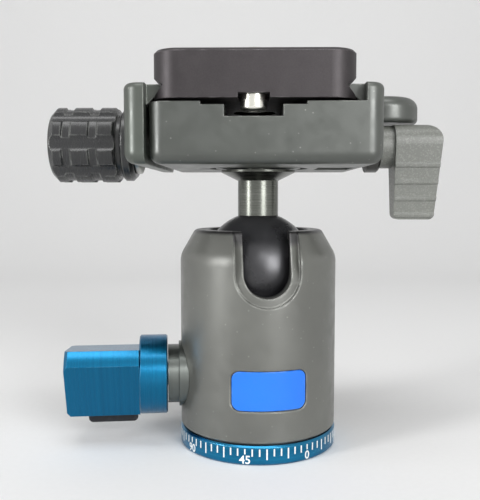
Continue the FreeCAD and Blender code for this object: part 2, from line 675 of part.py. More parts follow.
def knob_washer():
    near = CKNOB_COLLAR_X1 + NEST
    far = JAW_X0 - NEST
    return turned_profile_x([
        (near, ROD_R + RUN), (near, CWASHER_R - CWASHER_EDGE), (near + CWASHER_EDGE, CWASHER_R),
        (far - CWASHER_EDGE, CWASHER_R), (far, CWASHER_R - CWASHER_EDGE), (far, ROD_R + RUN)], ROD_Z)


def clamp_knob():
    """Fluted knob: eight flutes along it, two ring grooves across the lands, a necked collar."""
    land = CKNOB_R
    outline = [(CKNOB_X0, 0), (CKNOB_X0, land - CKNOB_EDGE), (CKNOB_X0 + CKNOB_EDGE, land)]
    for groove in CKNOB_GROOVES:
        outline += [(groove, land), (groove + CKNOB_GROOVE_DEPTH / 2, land - CKNOB_GROOVE_DEPTH),
                    (groove + CKNOB_GROOVE_W - CKNOB_GROOVE_DEPTH / 2, land - CKNOB_GROOVE_DEPTH),
                    (groove + CKNOB_GROOVE_W, land)]
    outline += [(CKNOB_X1 - CKNOB_INNER_EDGE, land), (CKNOB_X1, land - CKNOB_INNER_EDGE), (CKNOB_X1, 0)]
    grip = turned_profile_x(outline, ROD_Z)
    centre = land + CKNOB_FLUTE_R - CKNOB_FLUTE_SINK
    for index in range(CKNOB_FLUTES):
        turn = 2 * math.pi * index / CKNOB_FLUTES
        grip = grip.cut(rod(CKNOB_FLUTE_R, CKNOB_X0 - 1, CKNOB_X1 + 1, -centre * math.cos(turn),
                            ROD_Z + centre * math.sin(turn)))
    neck = rod(CKNOB_NECK_R, CKNOB_X1 - CKNOB_EDGE, CKNOB_COLLAR_X0 + CKNOB_EDGE, 0, ROD_Z)
    collar = turned_profile_x([
        (CKNOB_COLLAR_X0, 0), (CKNOB_COLLAR_X0, CKNOB_COLLAR_R - CKNOB_COLLAR_EDGE),
        (CKNOB_COLLAR_X0 + CKNOB_COLLAR_EDGE, CKNOB_COLLAR_R),
        (CKNOB_COLLAR_X1 - CKNOB_COLLAR_SLOPE, CKNOB_COLLAR_R),
        (CKNOB_COLLAR_X1, CKNOB_COLLAR_R - CKNOB_COLLAR_SLOPE),
        (CKNOB_COLLAR_X1, 0)], ROD_Z)
    knob = grip.fuse(neck).fuse(collar)
    bore = rod(ROD_R + RUN, ROD_X0 - ROD_TRAVEL - ROD_END_GAP, CKNOB_COLLAR_X1, 0, ROD_Z)
    return knob.cut(bore).removeSplitter()


def quarter_arc(centre, radius, start_deg):
    """Quarter circle in the plane of Y and Z, turning on from start_deg (0 is +Y, 90 is +Z)."""
    ends = [math.radians(start_deg + step) for step in (0, 45, 90)]
    points = [V(PADDLE_X0, centre[0] + radius * math.cos(a), centre[1] + radius * math.sin(a)) for a in ends]
    return Part.Arc(*points).toShape()


def paddle_front_y(height):
    """The paddle's front face leans back toward its tip."""
    lean = (PADDLE_FRONT - PADDLE_TIP_FRONT) / (ROD_Z - PADDLE_TIP_Z)
    return -PADDLE_FRONT + lean * max(0.0, ROD_Z - height)


def paddle_side():
    """The paddle seen from its side: round head, leaning front with stepped ribs, thin tip."""
    head_z = PADDLE_TOP_Z - PADDLE_HEAD_R
    points = [(-PADDLE_FRONT, head_z), (-PADDLE_FRONT, ROD_Z)]
    for index in range(RIB_COUNT):
        high = RIB_TOP_Z - index * RIB_PITCH
        for height, proud in ((high, 0.0), (high - RIB_BEVEL, RIB_PROUD),
                              (high - RIB_H + RIB_BEVEL / 2, RIB_PROUD), (high - RIB_H, 0.0)):
            points.append((paddle_front_y(height) - proud, height))
    points += [(-PADDLE_TIP_FRONT, PADDLE_TIP_Z), (PADDLE_TIP_BACK, PADDLE_TIP_Z), (PADDLE_BACK, head_z)]
    corners = [V(PADDLE_X0, y, z) for y, z in points]
    edges = [Part.LineSegment(a, b).toShape() for a, b in zip(corners, corners[1:])]
    back_y = PADDLE_BACK - PADDLE_HEAD_R
    front_y = -PADDLE_FRONT + PADDLE_HEAD_R
    edges.append(quarter_arc((back_y, head_z), PADDLE_HEAD_R, 0))
    top = [V(PADDLE_X0, y, PADDLE_TOP_Z) for y in (back_y, front_y)]
    edges.append(Part.LineSegment(*top).toShape())
    edges.append(quarter_arc((front_y, head_z), PADDLE_HEAD_R, 90))
    return Part.Face(Part.Wire(edges)).extrude(V(PADDLE_X1 - PADDLE_X0, 0, 0))


def paddle_front():
    """The paddle seen from its front: rounded outer top corner, outer edge that runs in to the tip."""
    form = prism_xz([(PADDLE_X0, PADDLE_TIP_Z), (PADDLE_TIP_X1, PADDLE_TIP_Z), (PADDLE_X1, PADDLE_TAPER_Z),
                     (PADDLE_X1, PADDLE_TOP_Z), (PADDLE_X0, PADDLE_TOP_Z)],
                    -PADDLE_FRONT - 1, PADDLE_BACK + 1)
    corner = edges_at(form, lambda c, b: c.x > PADDLE_X1 - 0.01 and c.z > PADDLE_TOP_Z - 0.01)
    form = form.makeFillet(PADDLE_CORNER, corner)
    tips = edges_at(form, lambda c, b: b.ZMax < PADDLE_TIP_Z + 0.01 and b.YLength > PADDLE_BACK)
    return form.makeFillet(PADDLE_EDGE, tips)


def lever():
    """Moulded lever: a hub on the rod and a tapering paddle with stepped ribs."""
    hub = rod(HUB_R, HUB_X0, PADDLE_X1 - HUB_INSET, 0, ROD_Z - HUB_DROP)
    handle = hub.fuse(paddle_side().common(paddle_front()))
    bore = rod(ROD_R + RUN, HUB_X0 - 1, ROD_X1 + ROD_END_GAP, 0, ROD_Z)
    return handle.cut(bore).removeSplitter()


def release_plate():
    """Dovetail plate: grooved sides, pad recesses, a screw slot and a front notch."""
    half_l = PLATE_L / 2
    plate = rounded_plate(LEFT_SIDE, RIGHT_SIDE, -half_l, half_l, PLATE_Z0, PLATE_Z1, PLATE_CORNER)
    top = edges_at(plate, lambda c, b: b.ZMin > PLATE_Z1 - 0.01)
    plate = plate.makeChamfer(PLATE_EDGE, top)
    land_top = PLATE_Z0 + GROOVE_LAND
    depth = GROOVE_APEX_Z - land_top
    for side_x, outward in ((LEFT_SIDE, -1), (RIGHT_SIDE, 1)):
        groove = prism_xz([(side_x + outward, land_top - 1.0), (side_x - outward * depth, GROOVE_APEX_Z),
                           (side_x, GROOVE_TOP_Z), (side_x + outward, GROOVE_TOP_Z)], -PLATE_L, PLATE_L)
        plate = plate.cut(groove)
    for side in (-1, 1):
        plate = plate.cut(pad_form(side, 0.0, PLATE_Z1 - PAD_DEPTH, PLATE_Z1 + 1))
    slot = cylinder(PLATE_SLOT_R, PLATE_Z0 - 1, PLATE_Z1 + 1, PLATE_X)
    head_top = PLATE_Z0 + CAMERA_HEAD_SINK + CAMERA_HEAD_H
    counterbore = cylinder(CAMERA_HEAD_R + RUN, PLATE_Z0 - 1, head_top, PLATE_X)
    half_w = PLATE_NOTCH_W / 2
    notch_top = PLATE_Z0 + PLATE_NOTCH_H
    notch = block(CHANNEL_X - half_w, CHANNEL_X + half_w, -PLATE_L, PLATE_NOTCH_L - half_l,
                  PLATE_Z0 - 1, notch_top)
    stop_hole = cylinder(STOP_THREAD_R + NEST, PLATE_Z0, notch_top + STOP_THREAD_H, CHANNEL_X, STOP_Y)
    return plate.cut(slot).cut(counterbore).cut(notch).cut(stop_hole).removeSplitter()


def pad_form(side, inset, low, high):
    near = PAD_INNER + inset
    far = PAD_Y - inset
    y0, y1 = (near, far) if side > 0 else (-far, -near)
    half = PAD_W - inset
    return rounded_plate(PLATE_X - half, PLATE_X + half, y0, y1, low, high, PAD_CORNER)


def plate_pads():
    """Two rubber pads let into the top of the plate."""
    pads = [pad_form(side, NEST, PLATE_Z1 - PAD_DEPTH + NEST, PLATE_Z1 + PAD_PROUD) for side in (-1, 1)]
    return Part.makeCompound(pads)


def stop_screw():
    """Bright pan-head screw under the plate's front that stops it sliding off."""
    top = PLATE_Z0 + PLATE_NOTCH_H - NEST
    head = cylinder(STOP_R, top - STOP_H, top, CHANNEL_X, STOP_Y)
    head = head.makeFillet(STOP_ROUND, edges_at(head, lambda c, b: b.ZMax < top - STOP_H + 0.01))
    thread = cylinder(STOP_THREAD_R, top, top + STOP_THREAD_H - NEST, CHANNEL_X, STOP_Y)
    socket = cylinder(STOP_SOCKET_R, top - STOP_H, top - STOP_H + STOP_SOCKET_H, CHANNEL_X, STOP_Y)
    return head.fuse(thread).cut(socket).removeSplitter()


def camera_screw():
    """Quarter-inch camera screw: slotted head under the plate, thread standing above it."""
    low = PLATE_Z0 + CAMERA_HEAD_SINK - NEST
    head = cylinder(CAMERA_HEAD_R, low, low + CAMERA_HEAD_H, PLATE_X)
    tip = PLATE_Z1 + CAMERA_STAND
    shank = cylinder(CAMERA_R, PLATE_Z1 + CAMERA_NECK_TOP, tip, PLATE_X)
    shank = shank.makeChamfer(CAMERA_EDGE, edges_at(shank, lambda c, b: b.ZMin > tip - 0.01))
    head = head.fuse(cylinder(CAMERA_NECK_R, low, PLATE_Z1 + CAMERA_NECK_TOP, PLATE_X))
    slot = block(PLATE_X - CAMERA_HEAD_R, PLATE_X + CAMERA_HEAD_R, -CAMERA_SLOT_W / 2, CAMERA_SLOT_W / 2,
                 low, low + CAMERA_SLOT_H)
    return head.fuse(shank).cut(slot).removeSplitter()


PARTS = {
    "scale_ring": scale_ring, "base_core": base_core, "foot_ring": foot_ring, "pan_washer": pan_washer,
    "pan_spring": pan_spring, "pan_nut": pan_nut,
    "housing": housing, "badge": badge, "ball_seat": ball_seat, "knob_bushing": knob_bushing,
    "ball_cup": ball_cup, "pressure_pin": pressure_pin,
    "knob_stud": knob_stud, "lock_knob": lock_knob, "knob_tab": knob_tab,
    "ball": ball, "stem": stem,
    "clamp_base": clamp_base, "level_vial": level_vial, "key_screw": key_screw, "lever_seat": lever_seat,
    "tie_rod": tie_rod, "movable_jaw": movable_jaw, "guide_pins": guide_pins,
    "knob_washer": knob_washer, "clamp_knob": clamp_knob, "lever": lever,
    "release_plate": release_plate, "plate_pads": plate_pads, "stop_screw": stop_screw,
    "camera_screw": camera_screw,
}

os.makedirs("parts", exist_ok=True)
for name, make in PARTS.items():
    shape = make()
    shape.exportStep("parts/" + name + ".step")
    print(name, "solids", len(shape.Solids), "valid", shape.isValid(), "volume", round(shape.Volume, 2))
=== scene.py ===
import math

import bmesh
import bpy
import numpy as np
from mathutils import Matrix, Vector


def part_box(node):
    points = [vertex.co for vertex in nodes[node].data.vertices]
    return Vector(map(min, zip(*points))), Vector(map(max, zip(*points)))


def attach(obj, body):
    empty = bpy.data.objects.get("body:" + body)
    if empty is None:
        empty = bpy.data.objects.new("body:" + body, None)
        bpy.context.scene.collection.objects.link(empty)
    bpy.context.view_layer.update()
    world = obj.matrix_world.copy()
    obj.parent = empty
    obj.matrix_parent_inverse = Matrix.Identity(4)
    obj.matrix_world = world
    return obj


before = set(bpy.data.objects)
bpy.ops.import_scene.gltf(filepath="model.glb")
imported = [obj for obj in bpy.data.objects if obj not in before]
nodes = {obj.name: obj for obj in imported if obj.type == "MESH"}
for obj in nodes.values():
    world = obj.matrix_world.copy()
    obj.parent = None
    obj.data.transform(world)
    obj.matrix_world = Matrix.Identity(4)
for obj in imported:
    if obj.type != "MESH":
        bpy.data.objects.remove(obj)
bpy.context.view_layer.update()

# The view: a normal lens about 15 cm in front of the stem, at two thirds of the head's height,
# tilted a little down and turned a little to the left, as the photograph was taken.
MM = 0.001
FOCAL_PX = 695.0
LONG_SIDE_PX = 500.0
SENSOR_MM = 36.0
EYE = (-1.2 * MM, -153.0 * MM, 54.1 * MM)
LOOK_DOWN = math.radians(4.44)
LOOK_LEFT = math.radians(1.03)
NEAREST = 5.0 * MM

lens = bpy.data.cameras.new("view")
lens.sensor_width = SENSOR_MM
lens.lens = FOCAL_PX / LONG_SIDE_PX * SENSOR_MM
lens.clip_start = NEAREST
eye = bpy.data.objects.new("view", lens)
eye.location = EYE
eye.rotation_euler = (math.pi / 2 - LOOK_DOWN, 0.0, LOOK_LEFT)
bpy.context.scene.collection.objects.link(eye)
bpy.context.scene.camera = eye
bpy.context.scene.view_settings.view_transform = "Standard"


# The studio: a pale sweep of matt card that runs from under the head up behind it,
# four soft lamps and an even pale surround.
def grid_faces(rows, columns, wrap_rows=False, wrap_columns=False):
    """Quads joining point (i, j) to its neighbours (i+1, j) and (i, j+1); an index may wrap round."""
    i = np.arange(rows if wrap_rows else rows - 1)[:, None]
    j = np.arange(columns if wrap_columns else columns - 1)[None, :]
    a = i * columns + j
    b = ((i + 1) % rows) * columns + j
    c = ((i + 1) % rows) * columns + (j + 1) % columns
    d = i * columns + (j + 1) % columns
    return np.stack([a, b, c, d], axis=-1).reshape(-1, 4)


def mesh_object(name, points, faces, smooth=True):
    """A mesh object in the scene, from an array of points in metres and a list of faces."""
    mesh = bpy.data.meshes.new(name)
    corners = np.asarray(points, float).reshape(-1, 3).tolist()
    mesh.from_pydata(corners, [], [list(map(int, face)) for face in faces])
    mesh.validate()
    mesh.polygons.foreach_set("use_smooth", [smooth] * len(mesh.polygons))
    made = bpy.data.objects.new(name, mesh)
    bpy.context.scene.collection.objects.link(made)
    return made


SWEEP_HALF = 0.9
SWEEP_FRONT = -0.9
SWEEP_BACK = 0.3
SWEEP_BEND = 0.4
SWEEP_HEIGHT = 1.2
SWEEP_STEPS = 24
bend = np.linspace(0, math.pi / 2, SWEEP_STEPS)
sweep_y = np.concatenate([[SWEEP_FRONT], SWEEP_BACK + SWEEP_BEND * np.sin(bend), [SWEEP_BACK + SWEEP_BEND]])
sweep_z = np.concatenate([[0.0], SWEEP_BEND * (1 - np.cos(bend)), [SWEEP_HEIGHT]])
sweep_x = np.array([-SWEEP_HALF, SWEEP_HALF])
sweep = np.zeros((len(sweep_y), 2, 3))
sweep[:, :, 0] = sweep_x[None, :]
sweep[:, :, 1] = sweep_y[:, None]
sweep[:, :, 2] = sweep_z[:, None]
card = mesh_object("card_sweep", sweep, grid_faces(len(sweep_y), 2)[:, ::-1])


def material(name, colour=(0.8, 0.8, 0.8), roughness=0.5, metallic=0.0, **sockets):
    """A material with one Principled shader, its constant values set on the shader's own sockets."""
    made = bpy.data.materials.new(name)
    made.use_nodes = True
    shader = made.node_tree.nodes["Principled BSDF"]
    shader.inputs["Base Color"].default_value = (*colour, 1.0)
    shader.inputs["Roughness"].default_value = roughness
    shader.inputs["Metallic"].default_value = metallic
    for socket, value in sockets.items():
        shader.inputs[socket.replace("_", " ")].default_value = value
    return made, made.node_tree, shader


def node(tree, kind, values=None, **settings):
    """A shader node with its settings, and its inputs either set or linked from another socket."""
    made = tree.nodes.new(kind)
    for key, value in settings.items():
        setattr(made, key, value)
    for key, value in (values or {}).items():
        if isinstance(value, bpy.types.NodeSocket):
            tree.links.new(value, made.inputs[key])
        else:
            made.inputs[key].default_value = value
    return made


def millimetres(tree, centre=(0, 0, 0), turn=(0, 0, 0)):
    """Object coordinates in millimetres, moved to a piece's own centre and turned to its axis."""
    place = node(tree, "ShaderNodeTexCoord").outputs["Object"]
    scaled = node(tree, "ShaderNodeVectorMath", {0: place, 1: (1000, 1000, 1000)}, operation="MULTIPLY")
    moved = node(tree, "ShaderNodeVectorMath", {0: scaled.outputs[0], 1: centre}, operation="SUBTRACT")
    spun = node(tree, "ShaderNodeMapping", {"Vector": moved.outputs[0], "Rotation": turn})
    return spun.outputs[0]


card_paint, tree, shader = material("matt_card", (0.86, 0.86, 0.85), 0.9)
fibre = node(tree, "ShaderNodeTexNoise", {"Vector": millimetres(tree), "Scale": 0.8, "Detail": 4.0})
tone = node(tree, "ShaderNodeMapRange", {0: fibre.outputs[0], 3: 0.84, 4: 0.88}).outputs[0]
grey = node(tree, "ShaderNodeCombineColor", {0: tone, 1: tone, 2: tone}).outputs[0]
tree.links.new(grey, shader.inputs["Base Color"])
card.data.materials.append(card_paint)

SKY_SEEN = 0.92
SKY_LIGHT = 0.28
surround = bpy.data.worlds.new("surround")
surround.use_nodes = True
tree = surround.node_tree
backdrop = tree.nodes["Background"]
ray = node(tree, "ShaderNodeLightPath").outputs
direct = node(tree, "ShaderNodeMath", {0: ray["Is Camera Ray"], 1: ray["Is Transmission Ray"]},
              operation="MAXIMUM")
either = node(tree, "ShaderNodeMath", {0: direct.outputs[0], 1: ray["Is Glossy Ray"]}, operation="MAXIMUM")
sky_level = node(tree, "ShaderNodeMapRange", {0: either.outputs[0], 3: SKY_LIGHT, 4: SKY_SEEN})
backdrop.inputs["Color"].default_value = (1.0, 1.0, 0.99, 1.0)
tree.links.new(sky_level.outputs[0], backdrop.inputs["Strength"])
bpy.context.scene.world = surround


AIM_Z = 0.045


def lamp(name, azimuth, elevation, distance, width, height, watts):
    """A soft rectangle of light aimed at the middle of the head; azimuth 0 is in front of it."""
    light = bpy.data.lights.new(name, "AREA")
    light.shape = "RECTANGLE"
    light.size = width
    light.size_y = height
    light.energy = watts
    made = bpy.data.objects.new(name, light)
    a, e = math.radians(azimuth), math.radians(elevation)
    away = np.array([math.sin(a) * math.cos(e), -math.cos(a) * math.cos(e), math.sin(e)])
    made.location = away * distance + np.array([0, 0, AIM_Z])
    made.rotation_euler = (math.pi / 2 - e, 0.0, a)
    bpy.context.scene.collection.objects.link(made)


lamp("left_window", azimuth=-56, elevation=13, distance=0.7, width=0.14, height=0.36, watts=2.8)
lamp("right_window", azimuth=31, elevation=13, distance=0.8, width=0.3, height=0.38, watts=4.2)
lamp("front_window", azimuth=11, elevation=27, distance=0.8, width=0.12, height=0.12, watts=0.5)
lamp("ceiling", azimuth=-6, elevation=72, distance=0.8, width=0.6, height=0.28, watts=2.3)


# Graduated base ring: teal anodised aluminium, turned all over, so fine lines run round it.
# The scale is cut into its side and filled with white enamel.
def group(name, inputs, outputs):
    """An empty shader node group with named inputs (name, type, default) and outputs (name, type)."""
    tree = bpy.data.node_groups.new(name, "ShaderNodeTree")
    for label, kind, value in inputs:
        socket = tree.interface.new_socket(label, in_out="INPUT", socket_type="NodeSocket" + kind)
        if value is not None:
            socket.default_value = value
    for label, kind in outputs:
        tree.interface.new_socket(label, in_out="OUTPUT", socket_type="NodeSocket" + kind)
    return tree, tree.nodes.new("NodeGroupInput").outputs, tree.nodes.new("NodeGroupOutput")


def place_group(tree, effect, **values):
    """The outputs of a node group placed in a material, its inputs set or linked."""
    made = tree.nodes.new("ShaderNodeGroup")
    made.node_tree = effect
    for key, value in values.items():
        if isinstance(value, bpy.types.NodeSocket):
            tree.links.new(value, made.inputs[key])
        else:
            made.inputs[key].default_value = value
    return made.outputs


def mix_colour(tree, factor, first, second):
    """A colour mix; each end is a socket or an (r, g, b) value."""
    mixed = node(tree, "ShaderNodeMix", data_type="RGBA")
    for index, value in ((0, factor), (6, first), (7, second)):
        if isinstance(value, bpy.types.NodeSocket):
            tree.links.new(value, mixed.inputs[index])
        else:
            mixed.inputs[index].default_value = (*value, 1.0) if index else value
    return mixed.outputs[2]


# Turning lines: along the piece's X axis, and out along its radius by the share Radial, the tool
# leaves fine rings. Tone follows rings that are broader by 1 / BROAD_RINGS.
BROAD_RINGS = 0.12
turning, inside, result = group(
    "turning_lines",
    [("Vector", "Vector", None), ("Pitch", "Float", 12.0), ("Blur", "Float", 0.6),
     ("Radial", "Float", 1.0)],
    [("Height", "Float"), ("Tone", "Float")])
parts = node(turning, "ShaderNodeSeparateXYZ", {0: inside["Vector"]}).outputs
square_y = node(turning, "ShaderNodeMath", {0: parts[1], 1: parts[1]}, operation="MULTIPLY")
squares = node(turning, "ShaderNodeMath", {0: parts[2], 1: parts[2], 2: square_y.outputs[0]},
               operation="MULTIPLY_ADD")
radius = node(turning, "ShaderNodeMath", {0: squares.outputs[0], 1: 0.5}, operation="POWER")
travel = node(turning, "ShaderNodeMath", {0: radius.outputs[0], 1: inside["Radial"], 2: parts[0]},
              operation="MULTIPLY_ADD")
fine_rings = node(turning, "ShaderNodeTexNoise",
                  {"W": travel.outputs[0], "Scale": inside["Pitch"], "Detail": 3.0,
                   "Roughness": inside["Blur"]}, noise_dimensions="1D")
slow = node(turning, "ShaderNodeMath", {0: inside["Pitch"], 1: BROAD_RINGS}, operation="MULTIPLY")
broad_rings = node(turning, "ShaderNodeTexNoise", {"W": travel.outputs[0], "Scale": slow.outputs[0]},
                   noise_dimensions="1D")
turning.links.new(fine_rings.outputs[0], result.inputs["Height"])
turning.links.new(broad_rings.outputs[0], result.inputs["Tone"])

# Edge wear and highlight: where the surface turns sharply a rounded normal departs from the true one,
# broken up by noise; it is 1 on such an edge and 0 elsewhere. The colour laid on with it is wear on most
# pieces, a painted highlight on the badge, and wear together with a painted highlight on the clamp knob's
# lands.
wear_and_highlight, inside, result = group(
    "edge_wear_and_highlight",
    [("Vector", "Vector", None), ("Width", "Float", 0.0002), ("Amount", "Float", 0.5),
     ("Patch", "Float", 0.6)],
    [("Mask", "Float"), ("Normal", "Vector")])
rounded = node(wear_and_highlight, "ShaderNodeBevel", {"Radius": inside["Width"]}, samples=4)
true_normal = node(wear_and_highlight, "ShaderNodeNewGeometry")
along = node(wear_and_highlight, "ShaderNodeVectorMath", {0: rounded.outputs[0], 1: true_normal.outputs["Normal"]},
             operation="DOT_PRODUCT")
turned_away = node(wear_and_highlight, "ShaderNodeMapRange",
                   {0: along.outputs["Value"], 1: 0.995, 2: 0.88, 3: 0.0, 4: 1.0})
patches = node(wear_and_highlight, "ShaderNodeTexNoise",
               {"Vector": inside["Vector"], "Scale": inside["Patch"], "Detail": 5.0})
broken = node(wear_and_highlight, "ShaderNodeMapRange", {0: patches.outputs[0], 1: 0.38, 2: 0.62})
edge = node(wear_and_highlight, "ShaderNodeMath", {0: turned_away.outputs[0], 1: broken.outputs[0]}, operation="MULTIPLY")
worn_and_highlit = node(wear_and_highlight, "ShaderNodeMath", {0: edge.outputs[0], 1: inside["Amount"]}, operation="MULTIPLY",
            use_clamp=True)
wear_and_highlight.links.new(worn_and_highlit.outputs[0], result.inputs["Mask"])
wear_and_highlight.links.new(rounded.outputs[0], result.inputs["Normal"])

# Fine grain: two sizes of noise, for the tooth of a paint, a moulding or a blasted surface. The
# large one's grains are wider by 1 / LARGE_GRAIN.
LARGE_GRAIN = 0.07
grain, inside, result = group(
    "fine_grain",
    [("Vector", "Vector", None), ("Size", "Float", 0.25), ("Coarse", "Float", 0.5)],
    [("Height", "Float"), ("Tone", "Float")])
per_mm = node(grain, "ShaderNodeMath", {0: 1.0, 1: inside["Size"]}, operation="DIVIDE")
small = node(grain, "ShaderNodeTexNoise",
             {"Vector": inside["Vector"], "Scale": per_mm.outputs[0], "Detail": 2.0})
wide = node(grain, "ShaderNodeMath", {0: per_mm.outputs[0], 1: LARGE_GRAIN}, operation="MULTIPLY")
large = node(grain, "ShaderNodeTexNoise",
             {"Vector": inside["Vector"], "Scale": wide.outputs[0], "Detail": 4.0})
both = node(grain, "ShaderNodeMath", {0: large.outputs[0], 1: inside["Coarse"], 2: small.outputs[0]},
            operation="MULTIPLY_ADD")
grain.links.new(both.outputs[0], result.inputs["Height"])
grain.links.new(large.outputs[0], result.inputs["Tone"])


def set_gloss(tree, shader, source, low, high, source_low=0.0, source_high=1.0):
    """Roughness that runs from low to high while its source runs between its own two ends."""
    spread = node(tree, "ShaderNodeMapRange", {0: source, 1: source_low, 2: source_high, 3: low, 4: high})
    tree.links.new(spread.outputs[0], shader.inputs["Roughness"])


def bump(tree, shader, height, strength, depth_mm, normal=None):
    """Bump of a real depth in millimetres, on the true normal or on a rounded one."""
    raised = node(tree, "ShaderNodeBump",
                  {"Height": height, "Strength": strength, "Distance": depth_mm * MM})
    if normal is not None:
        tree.links.new(normal, raised.inputs["Normal"])
    tree.links.new(raised.outputs[0], shader.inputs["Normal"])


def dress(name, made):
    """Give a CAD node its finish."""
    nodes[name].data.materials.clear()
    nodes[name].data.materials.append(made)


NO_END_FACE = 1e3
TEAL_LIT = (0.008, 0.19, 0.36)
TEAL_DEEP = (0.004, 0.115, 0.235)
TEAL_WORN = (0.20, 0.48, 0.66)


def teal_anodised(name, centre, turn, pitch, lit=TEAL_LIT, deep=TEAL_DEEP, end_face=NO_END_FACE):
    """Dyed anodised aluminium off the lathe: rings in tone, gloss and height, paler on its edges.

    Where the place along the axis is below end_face (mm) the rings also step out along the radius, as
    on a faced end. Elsewhere they step only along the axis, so they cross a flat as straight lines."""
    made, tree, shader = material(name, lit, 0.3, 1.0, Coat_Weight=0.3, Coat_Roughness=0.2)
    place = millimetres(tree, centre, turn)
    depth = node(tree, "ShaderNodeSeparateXYZ", {0: place}).outputs[0]
    faced = node(tree, "ShaderNodeMath", {0: depth, 1: end_face}, operation="LESS_THAN")
    lines = place_group(tree, turning, Vector=place, Pitch=pitch, Radial=faced.outputs[0])
    worn_and_highlit = place_group(tree, wear_and_highlight, Vector=place, Width=0.15 * MM, Amount=0.6)
    dyed = mix_colour(tree, lines["Tone"], deep, lit)
    dyed = mix_colour(tree, worn_and_highlit["Mask"], dyed, TEAL_WORN)
    tree.links.new(dyed, shader.inputs["Base Color"])
    set_gloss(tree, shader, lines["Height"], 0.22, 0.36)
    bump(tree, shader, lines["Height"], 0.35, 0.012, worn_and_highlit["Normal"])
    return made


RING_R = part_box("scale_ring")[1].x / MM
ORIGIN = (0.0, 0.0, 0.0)
AXIS_UP = (0.0, math.pi / 2, 0.0)
dress("scale_ring", teal_anodised("teal_ring", ORIGIN, AXIS_UP, pitch=7.0))

# Scale on the ring: white enamel rubbed into engraved strokes, one every 5 degrees and a longer
# one every 15, with a number under every 45 that counts clockwise seen from above.
ZERO_AT = 36.0
TICK_TOP = 3.42
TICK_SHORT = 1.5
TICK_LONG = 2.2
TICK_OVER_NUMBER = 1.1
TICK_W = 0.29
TICK_PROUD = 0.02
TICK_SUNK = 0.05
DIGIT_H = 1.72
DIGIT_BASE = 0.42
DIGIT_BOLD = 0.035
DIGIT_THICK = 0.07
DIGIT_SHARE = 0.73


def wrap_on_ring(flat, turn_deg):
    """Roll flat (width, height, depth) points in mm round the ring: angle = width / ring radius."""
    around = np.radians(turn_deg) + flat[..., 0] / RING_R
    out = RING_R + flat[..., 2]
    return np.stack([out * np.sin(around), -out * np.cos(around), flat[..., 1]], axis=-1) * MM


def box_faces(count):
    """Six quads for each of count boxes whose eight corners run low ring first, then high ring."""
    one = np.array([[0, 3, 2, 1], [4, 5, 6, 7], [0, 1, 5, 4], [1, 2, 6, 5], [2, 3, 7, 6], [3, 0, 4, 7]])
    return (one[None, :, :] + 8 * np.arange(count)[:, None, None]).reshape(-1, 4)


degrees = np.arange(0, 360, 5)
length = np.where(degrees % 15 == 0, TICK_LONG, TICK_SHORT)
length = np.where(degrees % 45 == 0, TICK_OVER_NUMBER, length)
across = np.array([-0.5, 0.5, 0.5, -0.5]) * TICK_W
corner = np.zeros((len(degrees), 8, 3))
corner[:, :4, 0] = across[None, :]
corner[:, 4:, 0] = across[None, :]
corner[:, 2:4, 1] = TICK_TOP
corner[:, 6:, 1] = TICK_TOP
corner[:, :2, 1] = TICK_TOP - length[:, None]
corner[:, 4:6, 1] = TICK_TOP - length[:, None]
corner[:, :4, 2] = -TICK_SUNK
corner[:, 4:, 2] = TICK_PROUD
ticks = mesh_object("scale_strokes", wrap_on_ring(corner, (ZERO_AT - degrees)[:, None]),
                    box_faces(len(degrees)), smooth=False)


def lettering(text, height_mm, bold_mm, depth_mm):
    """A word as a flat closed mesh, centred on its width, with its foot at zero; points in mm.

    A digit's height is DIGIT_SHARE of the type's size."""
    curve = bpy.data.curves.new("word", "FONT")
    curve.body = text
    curve.align_x = "CENTER"
    curve.size = height_mm / DIGIT_SHARE
    curve.offset = bold_mm
    curve.extrude = depth_mm / 2
    curve.resolution_u = 6
    word = bpy.data.objects.new("word", curve)
    bpy.context.scene.collection.objects.link(word)
    flat = bpy.data.meshes.new_from_object(word.evaluated_get(bpy.context.evaluated_depsgraph_get()))
    bpy.data.objects.remove(word)
    bpy.data.curves.remove(curve)
    points = np.empty(len(flat.vertices) * 3)
    flat.vertices.foreach_get("co", points)
    return flat, points.reshape(-1, 3)


numbers = []
for value in range(0, 360, 45):
    flat, points = lettering(str(value), DIGIT_H, DIGIT_BOLD, DIGIT_THICK)
    points = points + np.array([0.0, DIGIT_BASE, TICK_PROUD - DIGIT_THICK / 2])
    flat.vertices.foreach_set("co", wrap_on_ring(points, ZERO_AT - value).ravel())
    flat.update()
    number = bpy.data.objects.new("scale_number_" + str(value), flat)
    bpy.context.scene.collection.objects.link(number)
    numbers.append(number)

enamel, tree, shader = material("white_enamel", (0.82, 0.84, 0.82), 0.42)
rubbed = place_group(tree, grain, Vector=millimetres(tree), Size=0.2, Coarse=0.8)
whitened = mix_colour(tree, rubbed["Tone"], (0.66, 0.70, 0.70), (0.88, 0.90, 0.89))
tree.links.new(whitened, shader.inputs["Base Color"])
bump(tree, shader, rubbed["Height"], 0.4, 0.01)
for mark in [ticks] + numbers:
    mark.data.materials.append(enamel)
    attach(mark, "base")


# Base core: black anodised disc and spindle with the blind tripod thread up its middle. Its
# thread is cut, so a helix of crests shows in the hole.
SOCKET_PITCH = 1.5875
SOCKET_REACH = 4.2
SOCKET_LOW = 0.2
SOCKET_HIGH = 8.6
CREST_GAIN = 40.0


